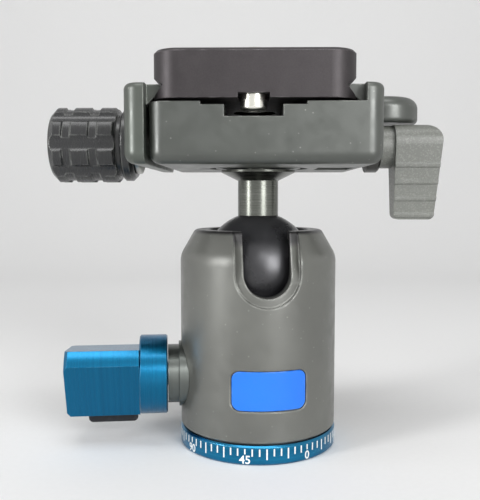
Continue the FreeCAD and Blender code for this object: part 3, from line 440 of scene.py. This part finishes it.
def helix_height(tree, place, pitch_mm, outer_mm, low_mm, high_mm):
    """Thread form: a triangle wave of height / pitch minus turns about Z.

    It is kept between two heights and inside a radius, and is 0 elsewhere."""
    parts = node(tree, "ShaderNodeSeparateXYZ", {0: place}).outputs
    around = node(tree, "ShaderNodeMath", {0: parts[1], 1: parts[0]}, operation="ARCTAN2")
    turns = node(tree, "ShaderNodeMath", {0: around.outputs[0], 1: 2 * math.pi}, operation="DIVIDE")
    rise = node(tree, "ShaderNodeMath", {0: parts[2], 1: pitch_mm}, operation="DIVIDE")
    phase = node(tree, "ShaderNodeMath", {0: rise.outputs[0], 1: turns.outputs[0]}, operation="SUBTRACT")
    wave = node(tree, "ShaderNodeMath", {0: phase.outputs[0], 1: 0.5}, operation="PINGPONG")
    above = node(tree, "ShaderNodeMath", {0: parts[2], 1: low_mm}, operation="GREATER_THAN")
    under = node(tree, "ShaderNodeMath", {0: parts[2], 1: high_mm}, operation="LESS_THAN")
    level = node(tree, "ShaderNodeCombineXYZ", {0: parts[0], 1: parts[1]})
    far = node(tree, "ShaderNodeVectorMath", {0: level.outputs[0]}, operation="LENGTH")
    near = node(tree, "ShaderNodeMath", {0: far.outputs["Value"], 1: outer_mm}, operation="LESS_THAN")
    kept = node(tree, "ShaderNodeMath", {0: above.outputs[0], 1: under.outputs[0]}, operation="MULTIPLY")
    kept = node(tree, "ShaderNodeMath", {0: kept.outputs[0], 1: near.outputs[0]}, operation="MULTIPLY")
    form = node(tree, "ShaderNodeMath", {0: wave.outputs[0], 1: kept.outputs[0]}, operation="MULTIPLY")
    return form.outputs[0]


core, tree, shader = material("black_anodised_core", (0.03, 0.03, 0.033), 0.35, 0.4)
place = millimetres(tree)
lines = place_group(tree, turning, Vector=millimetres(tree, turn=AXIS_UP), Pitch=6.0)
worn_and_highlit = place_group(tree, wear_and_highlight, Vector=place, Width=0.15 * MM, Amount=0.7)
dark = mix_colour(tree, lines["Tone"], (0.022, 0.022, 0.024), (0.045, 0.045, 0.05))
tree.links.new(mix_colour(tree, worn_and_highlit["Mask"], dark, (0.30, 0.30, 0.30)), shader.inputs["Base Color"])
set_gloss(tree, shader, lines["Height"], 0.28, 0.45)
crest = helix_height(tree, place, SOCKET_PITCH, SOCKET_REACH, SOCKET_LOW, SOCKET_HIGH)
form = node(tree, "ShaderNodeMath", {0: crest, 1: CREST_GAIN, 2: lines["Height"]}, operation="MULTIPLY_ADD")
bump(tree, shader, form.outputs[0], 0.6, 0.02, worn_and_highlit["Normal"])
dress("base_core", core)


# Foot ring and thumb tab: black rubber, moulded, with a fine matt tooth and a little dust. The ring
# is let into the underside of the core, and the tab is bonded to the lock knob.
def moulded_rubber(name, tone, tooth_mm):
    """Matt rubber: a fine tooth in its height and pale dust where the slow noise is high."""
    made, tree, shader = material(name, tone, 0.75, 0.0, Specular_IOR_Level=0.35)
    place = millimetres(tree)
    tooth = place_group(tree, grain, Vector=place, Size=tooth_mm, Coarse=0.6)
    worn_and_highlit = place_group(tree, wear_and_highlight, Vector=place, Width=0.25 * MM, Amount=0.35)
    dusty = node(tree, "ShaderNodeMapRange", {0: tooth["Tone"], 1: 0.5, 2: 0.75})
    pale = tuple(min(1.0, value * 2.6 + 0.02) for value in tone)
    dulled = mix_colour(tree, dusty.outputs[0], tone, pale)
    tree.links.new(mix_colour(tree, worn_and_highlit["Mask"], dulled, pale), shader.inputs["Base Color"])
    set_gloss(tree, shader, tooth["Tone"], 0.62, 0.88)
    bump(tree, shader, tooth["Height"], 0.5, 0.03, worn_and_highlit["Normal"])
    return made


dress("foot_ring", moulded_rubber("rubber_foot", (0.018, 0.018, 0.019), 0.3))
dress("knob_tab", moulded_rubber("rubber_tab", (0.012, 0.013, 0.016), 0.25))


# Friction washer, ball seat and ball cup: bearing plastic, turned or moulded, dark and slippery. The
# washer lies under the housing, the seat sits inside its rim, and the cup slides in the bore below.
def bearing_plastic(name, light, dark):
    """Low-sheen plastic: faint lathe rings about the upright axis, polished where it rubs."""
    made, tree, shader = material(name, light, 0.45)
    lines = place_group(tree, turning, Vector=millimetres(tree, turn=AXIS_UP), Pitch=4.0)
    worn_and_highlit = place_group(tree, wear_and_highlight, Vector=millimetres(tree), Width=0.2 * MM, Amount=0.4)
    tree.links.new(mix_colour(tree, lines["Tone"], dark, light), shader.inputs["Base Color"])
    set_gloss(tree, shader, lines["Height"], 0.35, 0.55)
    bump(tree, shader, lines["Height"], 0.3, 0.01, worn_and_highlit["Normal"])
    return made


dress("pan_washer", bearing_plastic("washer_plastic", (0.012, 0.012, 0.013), (0.006, 0.006, 0.007)))
dress("ball_seat", bearing_plastic("seat_plastic", (0.02, 0.02, 0.021), (0.01, 0.01, 0.011)))
dress("ball_cup", bearing_plastic("cup_plastic", (0.03, 0.03, 0.03), (0.018, 0.018, 0.018)))


# Steel pieces: polished steel, bright or dark, with hairline rings and worn bright edges. Pins, rod,
# stud, nut, screws, bushing and stem are turned from bar, and washer and disc spring are stamped.
# They are screwed, pressed or slid into the other pieces.
def polished_steel(name, centre, turn, light, dark, rough, pitch, lines_mm=0.008):
    """Turned steel: tone, gloss and height all follow the tool's rings about the piece's own axis."""
    made, tree, shader = material(name, light, rough, 1.0)
    place = millimetres(tree, centre, turn)
    lines = place_group(tree, turning, Vector=place, Pitch=pitch)
    worn_and_highlit = place_group(tree, wear_and_highlight, Vector=place, Width=0.15 * MM, Amount=0.6)
    bright = tuple(min(0.9, value * 1.35 + 0.05) for value in light)
    toned = mix_colour(tree, lines["Tone"], dark, light)
    tree.links.new(mix_colour(tree, worn_and_highlit["Mask"], toned, bright), shader.inputs["Base Color"])
    set_gloss(tree, shader, lines["Height"], rough * 0.8, rough * 1.35)
    bump(tree, shader, lines["Height"], 0.3, lines_mm, worn_and_highlit["Normal"])
    return made


BRIGHT = (0.80, 0.79, 0.74)
BRIGHT_DULL = (0.66, 0.65, 0.61)
DARK_STEEL = (0.17, 0.175, 0.16)
DARK_STEEL_DULL = (0.11, 0.115, 0.105)
BLACK_STEEL = (0.10, 0.10, 0.095)
BLACK_STEEL_DULL = (0.06, 0.06, 0.058)
WASHER_GREY = (0.55, 0.55, 0.52)
WASHER_GREY_DULL = (0.4, 0.4, 0.38)
SCREW_GREY = (0.4, 0.4, 0.38)
SCREW_GREY_DULL = (0.3, 0.3, 0.28)
STOP_DULL = (0.74, 0.73, 0.66)
NECK = (0.155, 0.168, 0.158)
NECK_DULL = (0.115, 0.125, 0.118)
STEM = (0.155, 0.16, 0.145)
STEM_DULL = (0.12, 0.125, 0.112)
HEAD_TURN = math.radians(7.0)
ALONG_X = (0.0, 0.0, 0.0)
ALONG_KNOB = (0.0, 0.0, -HEAD_TURN)
KNOB_AXIS = (0.0, 0.0, 15.15)
ROD_AXIS = (0.0, 0.0, 65.1)
KEY_SCREW = (-11.5, 0.0, 60.0)
STOP_SCREW = (-1.0, -21.6, 70.0)
for piece, finish, centre, axis, light, dark, rough, pitch in (
        ("pan_nut", "nut_steel", ORIGIN, AXIS_UP, DARK_STEEL, DARK_STEEL_DULL, 0.32, 5.0),
        ("pan_spring", "spring_steel", ORIGIN, AXIS_UP, BRIGHT, BRIGHT_DULL, 0.3, 9.0),
        ("pressure_pin", "pin_steel", KNOB_AXIS, ALONG_KNOB, BRIGHT, BRIGHT_DULL, 0.28, 8.0),
        ("knob_stud", "stud_steel", KNOB_AXIS, ALONG_KNOB, BRIGHT, BRIGHT_DULL, 0.3, 8.0),
        ("tie_rod", "rod_steel", ROD_AXIS, ALONG_X, BRIGHT, BRIGHT_DULL, 0.26, 8.0),
        ("guide_pins", "guide_steel", ROD_AXIS, ALONG_X, BRIGHT, BRIGHT_DULL, 0.24, 10.0),
        ("knob_washer", "washer_steel", ROD_AXIS, ALONG_X, WASHER_GREY, WASHER_GREY_DULL, 0.3, 8.0),
        ("lever_seat", "seat_steel", ROD_AXIS, ALONG_X, BLACK_STEEL, BLACK_STEEL_DULL, 0.3, 8.0),
        ("key_screw", "key_steel", KEY_SCREW, AXIS_UP, SCREW_GREY, SCREW_GREY_DULL, 0.35, 6.0),
        ("stop_screw", "stop_steel", STOP_SCREW, AXIS_UP, BRIGHT, STOP_DULL, 0.2, 5.0),
        ("knob_bushing", "neck_steel", KNOB_AXIS, ALONG_KNOB, NECK, NECK_DULL, 0.3, 5.0)):
    dress(piece, polished_steel(finish, centre, axis, light, dark, rough, pitch))
dress("stem", polished_steel("stem_steel", ORIGIN, AXIS_UP, STEM, STEM_DULL, 0.24, 6.0, lines_mm=0.005))


# Ball: black anodised aluminium, turned and polished to a gloss, with fine rub marks from its seat.
# It is held between the seat in the rim and the cup below.
BALL_CENTRE = (0.0, 0.0, 38.5)
ball_black, tree, shader = material("ball_gloss_black", (0.05, 0.05, 0.053), 0.26, 0.5,
                                    Specular_IOR_Level=0.7)
place = millimetres(tree, BALL_CENTRE)
rubbing = place_group(tree, grain, Vector=place, Size=0.35, Coarse=0.9)
lines = place_group(tree, turning, Vector=millimetres(tree, BALL_CENTRE, AXIS_UP), Pitch=5.0)
grey = mix_colour(tree, rubbing["Tone"], (0.03, 0.03, 0.033), (0.065, 0.065, 0.07))
tree.links.new(grey, shader.inputs["Base Color"])
set_gloss(tree, shader, rubbing["Tone"], 0.24, 0.36, 0.3, 0.7)
bump(tree, shader, lines["Height"], 0.15, 0.004)
dress("ball", ball_black)


# Painted castings: the housing, the clamp body and the jaw are die-cast and sprayed with a soft
# warm-grey satin paint, whose tooth is fine and whose edges shine where hands have rubbed them.
def satin_paint(name, light, dark, edge, rough=0.34, edge_mm=0.35):
    """Paint film: slow drift of tone, fine tooth, and edges rounded by the film and polished by use."""
    made, tree, shader = material(name, light, rough, 0.35, Specular_IOR_Level=1.0)
    place = millimetres(tree)
    tooth = place_group(tree, grain, Vector=place, Size=0.22, Coarse=0.7)
    worn_and_highlit = place_group(tree, wear_and_highlight, Vector=place, Width=edge_mm * MM, Amount=0.6, Patch=0.35)
    drift = node(tree, "ShaderNodeTexNoise", {"Vector": place, "Scale": 0.06, "Detail": 3.0})
    spread = node(tree, "ShaderNodeMapRange", {0: drift.outputs[0], 1: 0.3, 2: 0.7})
    film = mix_colour(tree, spread.outputs[0], dark, light)
    specks = node(tree, "ShaderNodeTexVoronoi", {"Vector": place, "Scale": 0.55, "Randomness": 1.0})
    dust = node(tree, "ShaderNodeMapRange",
                {0: specks.outputs["Distance"], 1: 0.10, 2: 0.03, 3: 0.0, 4: 0.35})
    film = mix_colour(tree, dust.outputs[0], film, (0.45, 0.45, 0.42))
    film = mix_colour(tree, worn_and_highlit["Mask"], film, edge)
    set_gloss(tree, shader, tooth["Tone"], rough - 0.06, rough + 0.1, 0.3, 0.7)
    bump(tree, shader, tooth["Height"], 0.35, 0.012, worn_and_highlit["Normal"])
    tree.links.new(film, shader.inputs["Base Color"])
    return made, tree, shader, film


# Painted shade: the housing's bore is coloured near black behind the rim and the notch, where shade falls,
# starting at the first radius below and in full from the second (mm from the upright axis).
BORE_SHADE_EDGE = 14.3
BORE_SHADE_FULL = 13.9
housing_paint, tree, shader, film = satin_paint(
    "housing_paint", light=(0.128, 0.131, 0.118), dark=(0.104, 0.106, 0.096), edge=(0.38, 0.39, 0.36),
    edge_mm=0.6)
sides = node(tree, "ShaderNodeVectorMath", {0: millimetres(tree), 1: (1, 1, 0)}, operation="MULTIPLY")
reach = node(tree, "ShaderNodeVectorMath", {0: sides.outputs[0]}, operation="LENGTH")
bore_shade = node(tree, "ShaderNodeMapRange", {0: reach.outputs["Value"], 1: BORE_SHADE_EDGE, 2: BORE_SHADE_FULL})
tree.links.new(mix_colour(tree, bore_shade.outputs[0], film, (0.03, 0.029, 0.03)), shader.inputs["Base Color"])
dress("housing", housing_paint)

# Badge: a bare, slightly crowned metal plate coated with bright blue enamel. It is let into a
# shallow recess in the housing's front.
badge_enamel, tree, shader = material("badge_enamel", (0.01, 0.19, 0.78), 0.25, 0.0, Coat_Weight=0.5,
                                      Coat_Roughness=0.1, Specular_IOR_Level=0.3)
place = millimetres(tree)
flow = place_group(tree, grain, Vector=place, Size=1.2, Coarse=0.9)
worn_and_highlit = place_group(tree, wear_and_highlight, Vector=place, Width=0.4 * MM, Amount=0.5)
blue = mix_colour(tree, flow["Tone"], (0.004, 0.145, 0.68), (0.014, 0.19, 0.80))
# Painted highlight: the badge's edges are coloured a paler blue where light would catch its crowned rim.
tree.links.new(mix_colour(tree, worn_and_highlit["Mask"], blue, (0.30, 0.55, 1.0)), shader.inputs["Base Color"])
set_gloss(tree, shader, flow["Tone"], 0.16, 0.3)
bump(tree, shader, flow["Height"], 0.25, 0.02, worn_and_highlit["Normal"])
dress("badge", badge_enamel)

# Lock knob: aluminium turned from bar, with three flats milled on its grip, then dyed teal and fixed on the
# stud.
# Its teal is set deeper than the ring's as painted shade, for the darker reflections on it. Its end face
# lies beyond KNOB_END (mm along its axis).
KNOB_TONE_SHADED = (0.002, 0.150, 0.300)
KNOB_DEEP_SHADED = (0.001, 0.110, 0.235)
KNOB_END = -41.4
dress("lock_knob", teal_anodised("teal_knob", KNOB_AXIS, ALONG_KNOB, pitch=9.0, lit=KNOB_TONE_SHADED,
                                 deep=KNOB_DEEP_SHADED, end_face=KNOB_END))

# Clamp body: a casting with one fixed dovetail lip, in the housing's paint set darker as painted shade,
# that turns on the stem. A fine arc is scratched into its front: the right half of a circle of radius
# SCRATCH_R.
SCRATCH_CENTRE = (17.4, -24.5, 67.3)
SCRATCH_R = 1.9
clamp_paint_shaded, tree, shader, film = satin_paint(
    "clamp_paint_shaded", light=(0.064, 0.070, 0.062), dark=(0.050, 0.055, 0.049), edge=(0.36, 0.37, 0.34))
place = millimetres(tree, SCRATCH_CENTRE)
flat_place = node(tree, "ShaderNodeVectorMath", {0: place, 1: (1, 0, 1)}, operation="MULTIPLY")
reach = node(tree, "ShaderNodeVectorMath", {0: flat_place.outputs[0]}, operation="LENGTH")
from_arc = node(tree, "ShaderNodeMath", {0: reach.outputs["Value"], 1: SCRATCH_R}, operation="SUBTRACT")
width = node(tree, "ShaderNodeMath", {0: from_arc.outputs[0]}, operation="ABSOLUTE")
stroke = node(tree, "ShaderNodeMapRange", {0: width.outputs[0], 1: 0.02, 2: 0.14, 3: 0.55, 4: 0.0})
sides = node(tree, "ShaderNodeSeparateXYZ", {0: place}).outputs
to_right = node(tree, "ShaderNodeMapRange", {0: sides[0], 1: 0.3, 2: 1.4})
in_front = node(tree, "ShaderNodeMath", {0: sides[1], 1: 0.5}, operation="LESS_THAN")
arc = node(tree, "ShaderNodeMath", {0: stroke.outputs[0], 1: to_right.outputs[0]}, operation="MULTIPLY")
arc = node(tree, "ShaderNodeMath", {0: arc.outputs[0], 1: in_front.outputs[0]}, operation="MULTIPLY")
tree.links.new(mix_colour(tree, arc.outputs[0], film, (0.06, 0.065, 0.06)), shader.inputs["Base Color"])
dress("clamp_base", clamp_paint_shaded)

# Movable jaw: a small casting in a slightly greener tint of the same paint, set darker than the housing's
# as painted shade.
# It slides on the guide pins and is drawn in by the tie rod and the clamp knob.
jaw_paint_shaded = satin_paint(
    "jaw_paint_shaded", light=(0.062, 0.073, 0.060), dark=(0.050, 0.058, 0.048), edge=(0.36, 0.38, 0.34))[0]
dress("movable_jaw", jaw_paint_shaded)

# Spirit level: a sealed round vial of clear plastic in the boss; its fluid is yellow-green, a
# bubble floats under the glass, and a black ring printed on the glass marks the centre.
vial_low, vial_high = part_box("level_vial")
VIAL_X = (vial_low.x + vial_high.x) / 2 / MM
VIAL_Y = (vial_low.y + vial_high.y) / 2 / MM
VIAL_R = (vial_high.x - vial_low.x) / 2 / MM
VIAL_TOP = vial_high.z / MM
VIAL_LOW = vial_low.z / MM
FLUID_GAP = 0.06
FLUID_TOP = 0.5
FLUID_WALL = 0.35
BUBBLE_R = 1.55
BUBBLE_HALF_H = 0.32
BUBBLE_DROP = 0.75
BUBBLE_OFF = (0.25, 0.2)
BUBBLE_ROWS = 13
CIRCLE_IN = 2.15
CIRCLE_OUT = 2.4
CIRCLE_SUNK = 0.05
CIRCLE_PROUD = 0.01


def turned_surface(name, profile, centre, segments=64):
    """A closed surface of revolution: each (radius, height) of the profile is carried round Z.

    The profile and the centre are in mm; the point at angle t is (r cos t, r sin t, h) + centre."""
    profile = np.asarray(profile, float)
    around = np.linspace(0, 2 * math.pi, segments, endpoint=False)
    rows = np.zeros((len(profile), segments, 3))
    rows[:, :, 0] = profile[:, 0, None] * np.cos(around)[None, :]
    rows[:, :, 1] = profile[:, 0, None] * np.sin(around)[None, :]
    rows[:, :, 2] = profile[:, 1, None]
    made = mesh_object(name, (rows + np.asarray(centre)) * MM,
                       grid_faces(len(profile), segments, wrap_columns=True))
    shape = bmesh.new()
    shape.from_mesh(made.data)
    bmesh.ops.remove_doubles(shape, verts=shape.verts, dist=1e-7)
    bmesh.ops.dissolve_degenerate(shape, edges=shape.edges, dist=1e-8)
    bmesh.ops.recalc_face_normals(shape, faces=shape.faces)
    shape.to_mesh(made.data)
    shape.free()
    return made


centre = (VIAL_X, VIAL_Y, 0.0)
fluid_r, fluid_low, fluid_high = VIAL_R - FLUID_WALL, VIAL_LOW + FLUID_GAP, VIAL_LOW + FLUID_TOP
fluid = turned_surface("vial_fluid", [(0, fluid_low), (fluid_r, fluid_low), (fluid_r, fluid_high),
                                      (0, fluid_high)], centre)

# The bubble is a flattened ball: radius BUBBLE_R sin t, height -BUBBLE_HALF_H cos t, t from 0 to pi.
t = np.linspace(0, math.pi, BUBBLE_ROWS)
oval = np.stack([BUBBLE_R * np.sin(t), VIAL_TOP - BUBBLE_DROP - BUBBLE_HALF_H * np.cos(t)], axis=1)
bubble = turned_surface("vial_bubble", oval, (VIAL_X + BUBBLE_OFF[0], VIAL_Y + BUBBLE_OFF[1], 0.0))

circle_low, circle_high = VIAL_TOP - CIRCLE_SUNK, VIAL_TOP + CIRCLE_PROUD
circle = turned_surface("vial_circle", [(CIRCLE_IN, circle_low), (CIRCLE_OUT, circle_low),
                                        (CIRCLE_OUT, circle_high), (CIRCLE_IN, circle_high),
                                        (CIRCLE_IN, circle_low)], centre)

vial_clear, tree, shader = material("vial_clear", (0.86, 0.95, 0.55), 0.03, 0.0,
                                    Transmission_Weight=1.0, IOR=1.45)
place = millimetres(tree)
haze = place_group(tree, grain, Vector=place, Size=0.6, Coarse=0.7)
set_gloss(tree, shader, haze["Tone"], 0.015, 0.09, 0.4, 0.8)
bump(tree, shader, haze["Height"], 0.1, 0.01)
dress("level_vial", vial_clear)

fluid_green, tree, shader = material("vial_fluid_green", (0.50, 0.72, 0.08), 0.35)
haze = place_group(tree, grain, Vector=millimetres(tree), Size=0.8, Coarse=0.8)
green = mix_colour(tree, haze["Tone"], (0.42, 0.64, 0.05), (0.58, 0.80, 0.12))
tree.links.new(green, shader.inputs["Base Color"])
bump(tree, shader, haze["Height"], 0.2, 0.01)
fluid.data.materials.append(fluid_green)

bubble_skin, tree, shader = material("vial_bubble_skin", (0.80, 0.92, 0.42), 0.08, 0.0, Coat_Weight=1.0)
haze = place_group(tree, grain, Vector=millimetres(tree), Size=0.5, Coarse=0.5)
pale = mix_colour(tree, haze["Tone"], (0.72, 0.88, 0.35), (0.88, 0.97, 0.55))
tree.links.new(pale, shader.inputs["Base Color"])
bump(tree, shader, haze["Height"], 0.1, 0.01)
bubble.data.materials.append(bubble_skin)

printed, tree, shader = material("vial_print_black", (0.01, 0.01, 0.01), 0.4)
inked = place_group(tree, grain, Vector=millimetres(tree), Size=0.15, Coarse=0.5)
ink = mix_colour(tree, inked["Tone"], (0.006, 0.006, 0.006), (0.02, 0.02, 0.02))
tree.links.new(ink, shader.inputs["Base Color"])
bump(tree, shader, inked["Height"], 0.2, 0.005)
circle.data.materials.append(printed)
for piece in (fluid, bubble, circle):
    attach(piece, "clamp")


# Clamp knob: turned aluminium, fluted and grooved for the fingers, black anodised to a semi-gloss;
# the crests of its lands are rubbed grey, and that grey is also a painted highlight on them. It screws on
# the end of the tie rod.
knob_black, tree, shader = material("knob_anodised_black", (0.010, 0.010, 0.012), 0.24, 0.0,
                                    Specular_IOR_Level=0.65)
place = millimetres(tree, ROD_AXIS)
lines = place_group(tree, turning, Vector=place, Pitch=5.0)
worn_and_highlit = place_group(tree, wear_and_highlight, Vector=place, Width=0.4 * MM, Amount=0.6, Patch=0.5)
black = mix_colour(tree, lines["Tone"], (0.006, 0.006, 0.008), (0.014, 0.015, 0.015))
# The pale grey on the lands' edges is rubbed wear and also a painted highlight.
tree.links.new(mix_colour(tree, worn_and_highlit["Mask"], black, (0.32, 0.33, 0.31)), shader.inputs["Base Color"])
set_gloss(tree, shader, lines["Height"], 0.2, 0.34)
bump(tree, shader, lines["Height"], 0.2, 0.008, worn_and_highlit["Normal"])
dress("clamp_knob", knob_black)

# Lever: grey-black polymer with a coarse tooth whose glints are painted in as pale flecks, moulded with
# stepped ribs for the thumb.
# It turns on the quick thread of the tie rod.
GLINTS_PER_MM = 4.2
GLINT_GAIN = 0.6
lever_grey, tree, shader = material("lever_sparkle_grey", (0.20, 0.21, 0.185), 0.38, 0.0,
                                    Specular_IOR_Level=0.8)
place = millimetres(tree)
tooth = place_group(tree, grain, Vector=place, Size=0.16, Coarse=0.4)
worn_and_highlit = place_group(tree, wear_and_highlight, Vector=place, Width=0.35 * MM, Amount=0.5)
glint = node(tree, "ShaderNodeTexVoronoi", {"Vector": place, "Scale": GLINTS_PER_MM, "Randomness": 1.0})
lit = node(tree, "ShaderNodeSeparateColor", {0: glint.outputs["Color"]})
bright = node(tree, "ShaderNodeMapRange", {0: lit.outputs[0], 1: 0.6, 2: 1.0, 3: 0.0, 4: 0.3})
film = mix_colour(tree, tooth["Height"], (0.085, 0.089, 0.078), (0.130, 0.136, 0.120))
# Painted glints: pale flecks in the colour where the Voronoi cells are brightest.
film = mix_colour(tree, bright.outputs[0], film, (0.32, 0.33, 0.30))
tree.links.new(mix_colour(tree, worn_and_highlit["Mask"], film, (0.36, 0.37, 0.35)), shader.inputs["Base Color"])
set_gloss(tree, shader, lit.outputs[1], 0.32, 0.5)
form = node(tree, "ShaderNodeMath", {0: lit.outputs[2], 1: GLINT_GAIN, 2: tooth["Height"]},
            operation="MULTIPLY_ADD")
bump(tree, shader, form.outputs[0], 0.4, 0.018, worn_and_highlit["Normal"])
dress("lever", lever_grey)

# Plate: aluminium, milled, blasted with beads and anodised a dark purplish grey that is worn
# silver along its edges. It is held between the clamp's lip and the jaw.
plate_grey, tree, shader = material("plate_blasted_grey", (0.075, 0.067, 0.071), 0.45, 0.6)
place = millimetres(tree)
blast = place_group(tree, grain, Vector=place, Size=0.14, Coarse=0.5)
worn_and_highlit = place_group(tree, wear_and_highlight, Vector=place, Width=0.25 * MM, Amount=0.75, Patch=0.5)
film = mix_colour(tree, blast["Height"], (0.021, 0.018, 0.020), (0.044, 0.039, 0.041))
tree.links.new(mix_colour(tree, worn_and_highlit["Mask"], film, (0.26, 0.25, 0.26)), shader.inputs["Base Color"])
set_gloss(tree, shader, blast["Tone"], 0.36, 0.56)
bump(tree, shader, blast["Height"], 0.4, 0.014, worn_and_highlit["Normal"])
dress("release_plate", plate_grey)

# Pads on the plate: two sheets of black rubber, moulded with ribs across so that a camera grips, and
# let into the plate's top. A rib and its groove take up twice RIB_HALF (mm).
RIB_HALF = 0.7
RIB_GAIN = 6.0
pad_rubber, tree, shader = material("rubber_pads", (0.02, 0.02, 0.021), 0.7, 0.0, Specular_IOR_Level=0.35)
place = millimetres(tree)
tooth = place_group(tree, grain, Vector=place, Size=0.25, Coarse=0.5)
sides = node(tree, "ShaderNodeSeparateXYZ", {0: place}).outputs
ribs = node(tree, "ShaderNodeMath", {0: sides[1], 1: RIB_HALF}, operation="PINGPONG")
ribs = node(tree, "ShaderNodeMapRange", {0: ribs.outputs[0], 1: 0.2, 2: 0.5})
form = node(tree, "ShaderNodeMath", {0: ribs.outputs[0], 1: RIB_GAIN, 2: tooth["Height"]},
            operation="MULTIPLY_ADD")
dulled = mix_colour(tree, tooth["Tone"], (0.012, 0.012, 0.013), (0.045, 0.045, 0.043))
# Painted shade: the grooves between the ribs are coloured near black.
groove_shaded = mix_colour(tree, ribs.outputs[0], (0.006, 0.006, 0.006), dulled)
tree.links.new(groove_shaded, shader.inputs["Base Color"])
bump(tree, shader, form.outputs[0], 0.6, 0.04)
dress("plate_pads", pad_rubber)

# Camera screw: bright steel, turned, with a cut quarter-inch thread that stands above the plate, in
# which the screw is held captive.
SCREW_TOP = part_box("camera_screw")[1].z / MM
SCREW_CENTRE = (-0.8, 0.0, 0.0)
SCREW_PITCH = 1.27
SCREW_REACH = 9.0
THREAD_LENGTH = 4.4
THREAD_END = 0.3
screw_steel, tree, shader = material("camera_screw_steel", BRIGHT, 0.24, 1.0)
place = millimetres(tree, SCREW_CENTRE)
lines = place_group(tree, turning, Vector=millimetres(tree, SCREW_CENTRE, AXIS_UP), Pitch=6.0)
worn_and_highlit = place_group(tree, wear_and_highlight, Vector=place, Width=0.12 * MM, Amount=0.5)
toned = mix_colour(tree, lines["Tone"], BRIGHT_DULL, BRIGHT)
tree.links.new(mix_colour(tree, worn_and_highlit["Mask"], toned, (0.9, 0.9, 0.88)), shader.inputs["Base Color"])
set_gloss(tree, shader, lines["Height"], 0.2, 0.34)
crest = helix_height(tree, place, SCREW_PITCH, SCREW_REACH, SCREW_TOP - THREAD_LENGTH,
                     SCREW_TOP - THREAD_END)
form = node(tree, "ShaderNodeMath", {0: crest, 1: CREST_GAIN, 2: lines["Height"]}, operation="MULTIPLY_ADD")
bump(tree, shader, form.outputs[0], 0.7, 0.02, worn_and_highlit["Normal"])
dress("camera_screw", screw_steel)
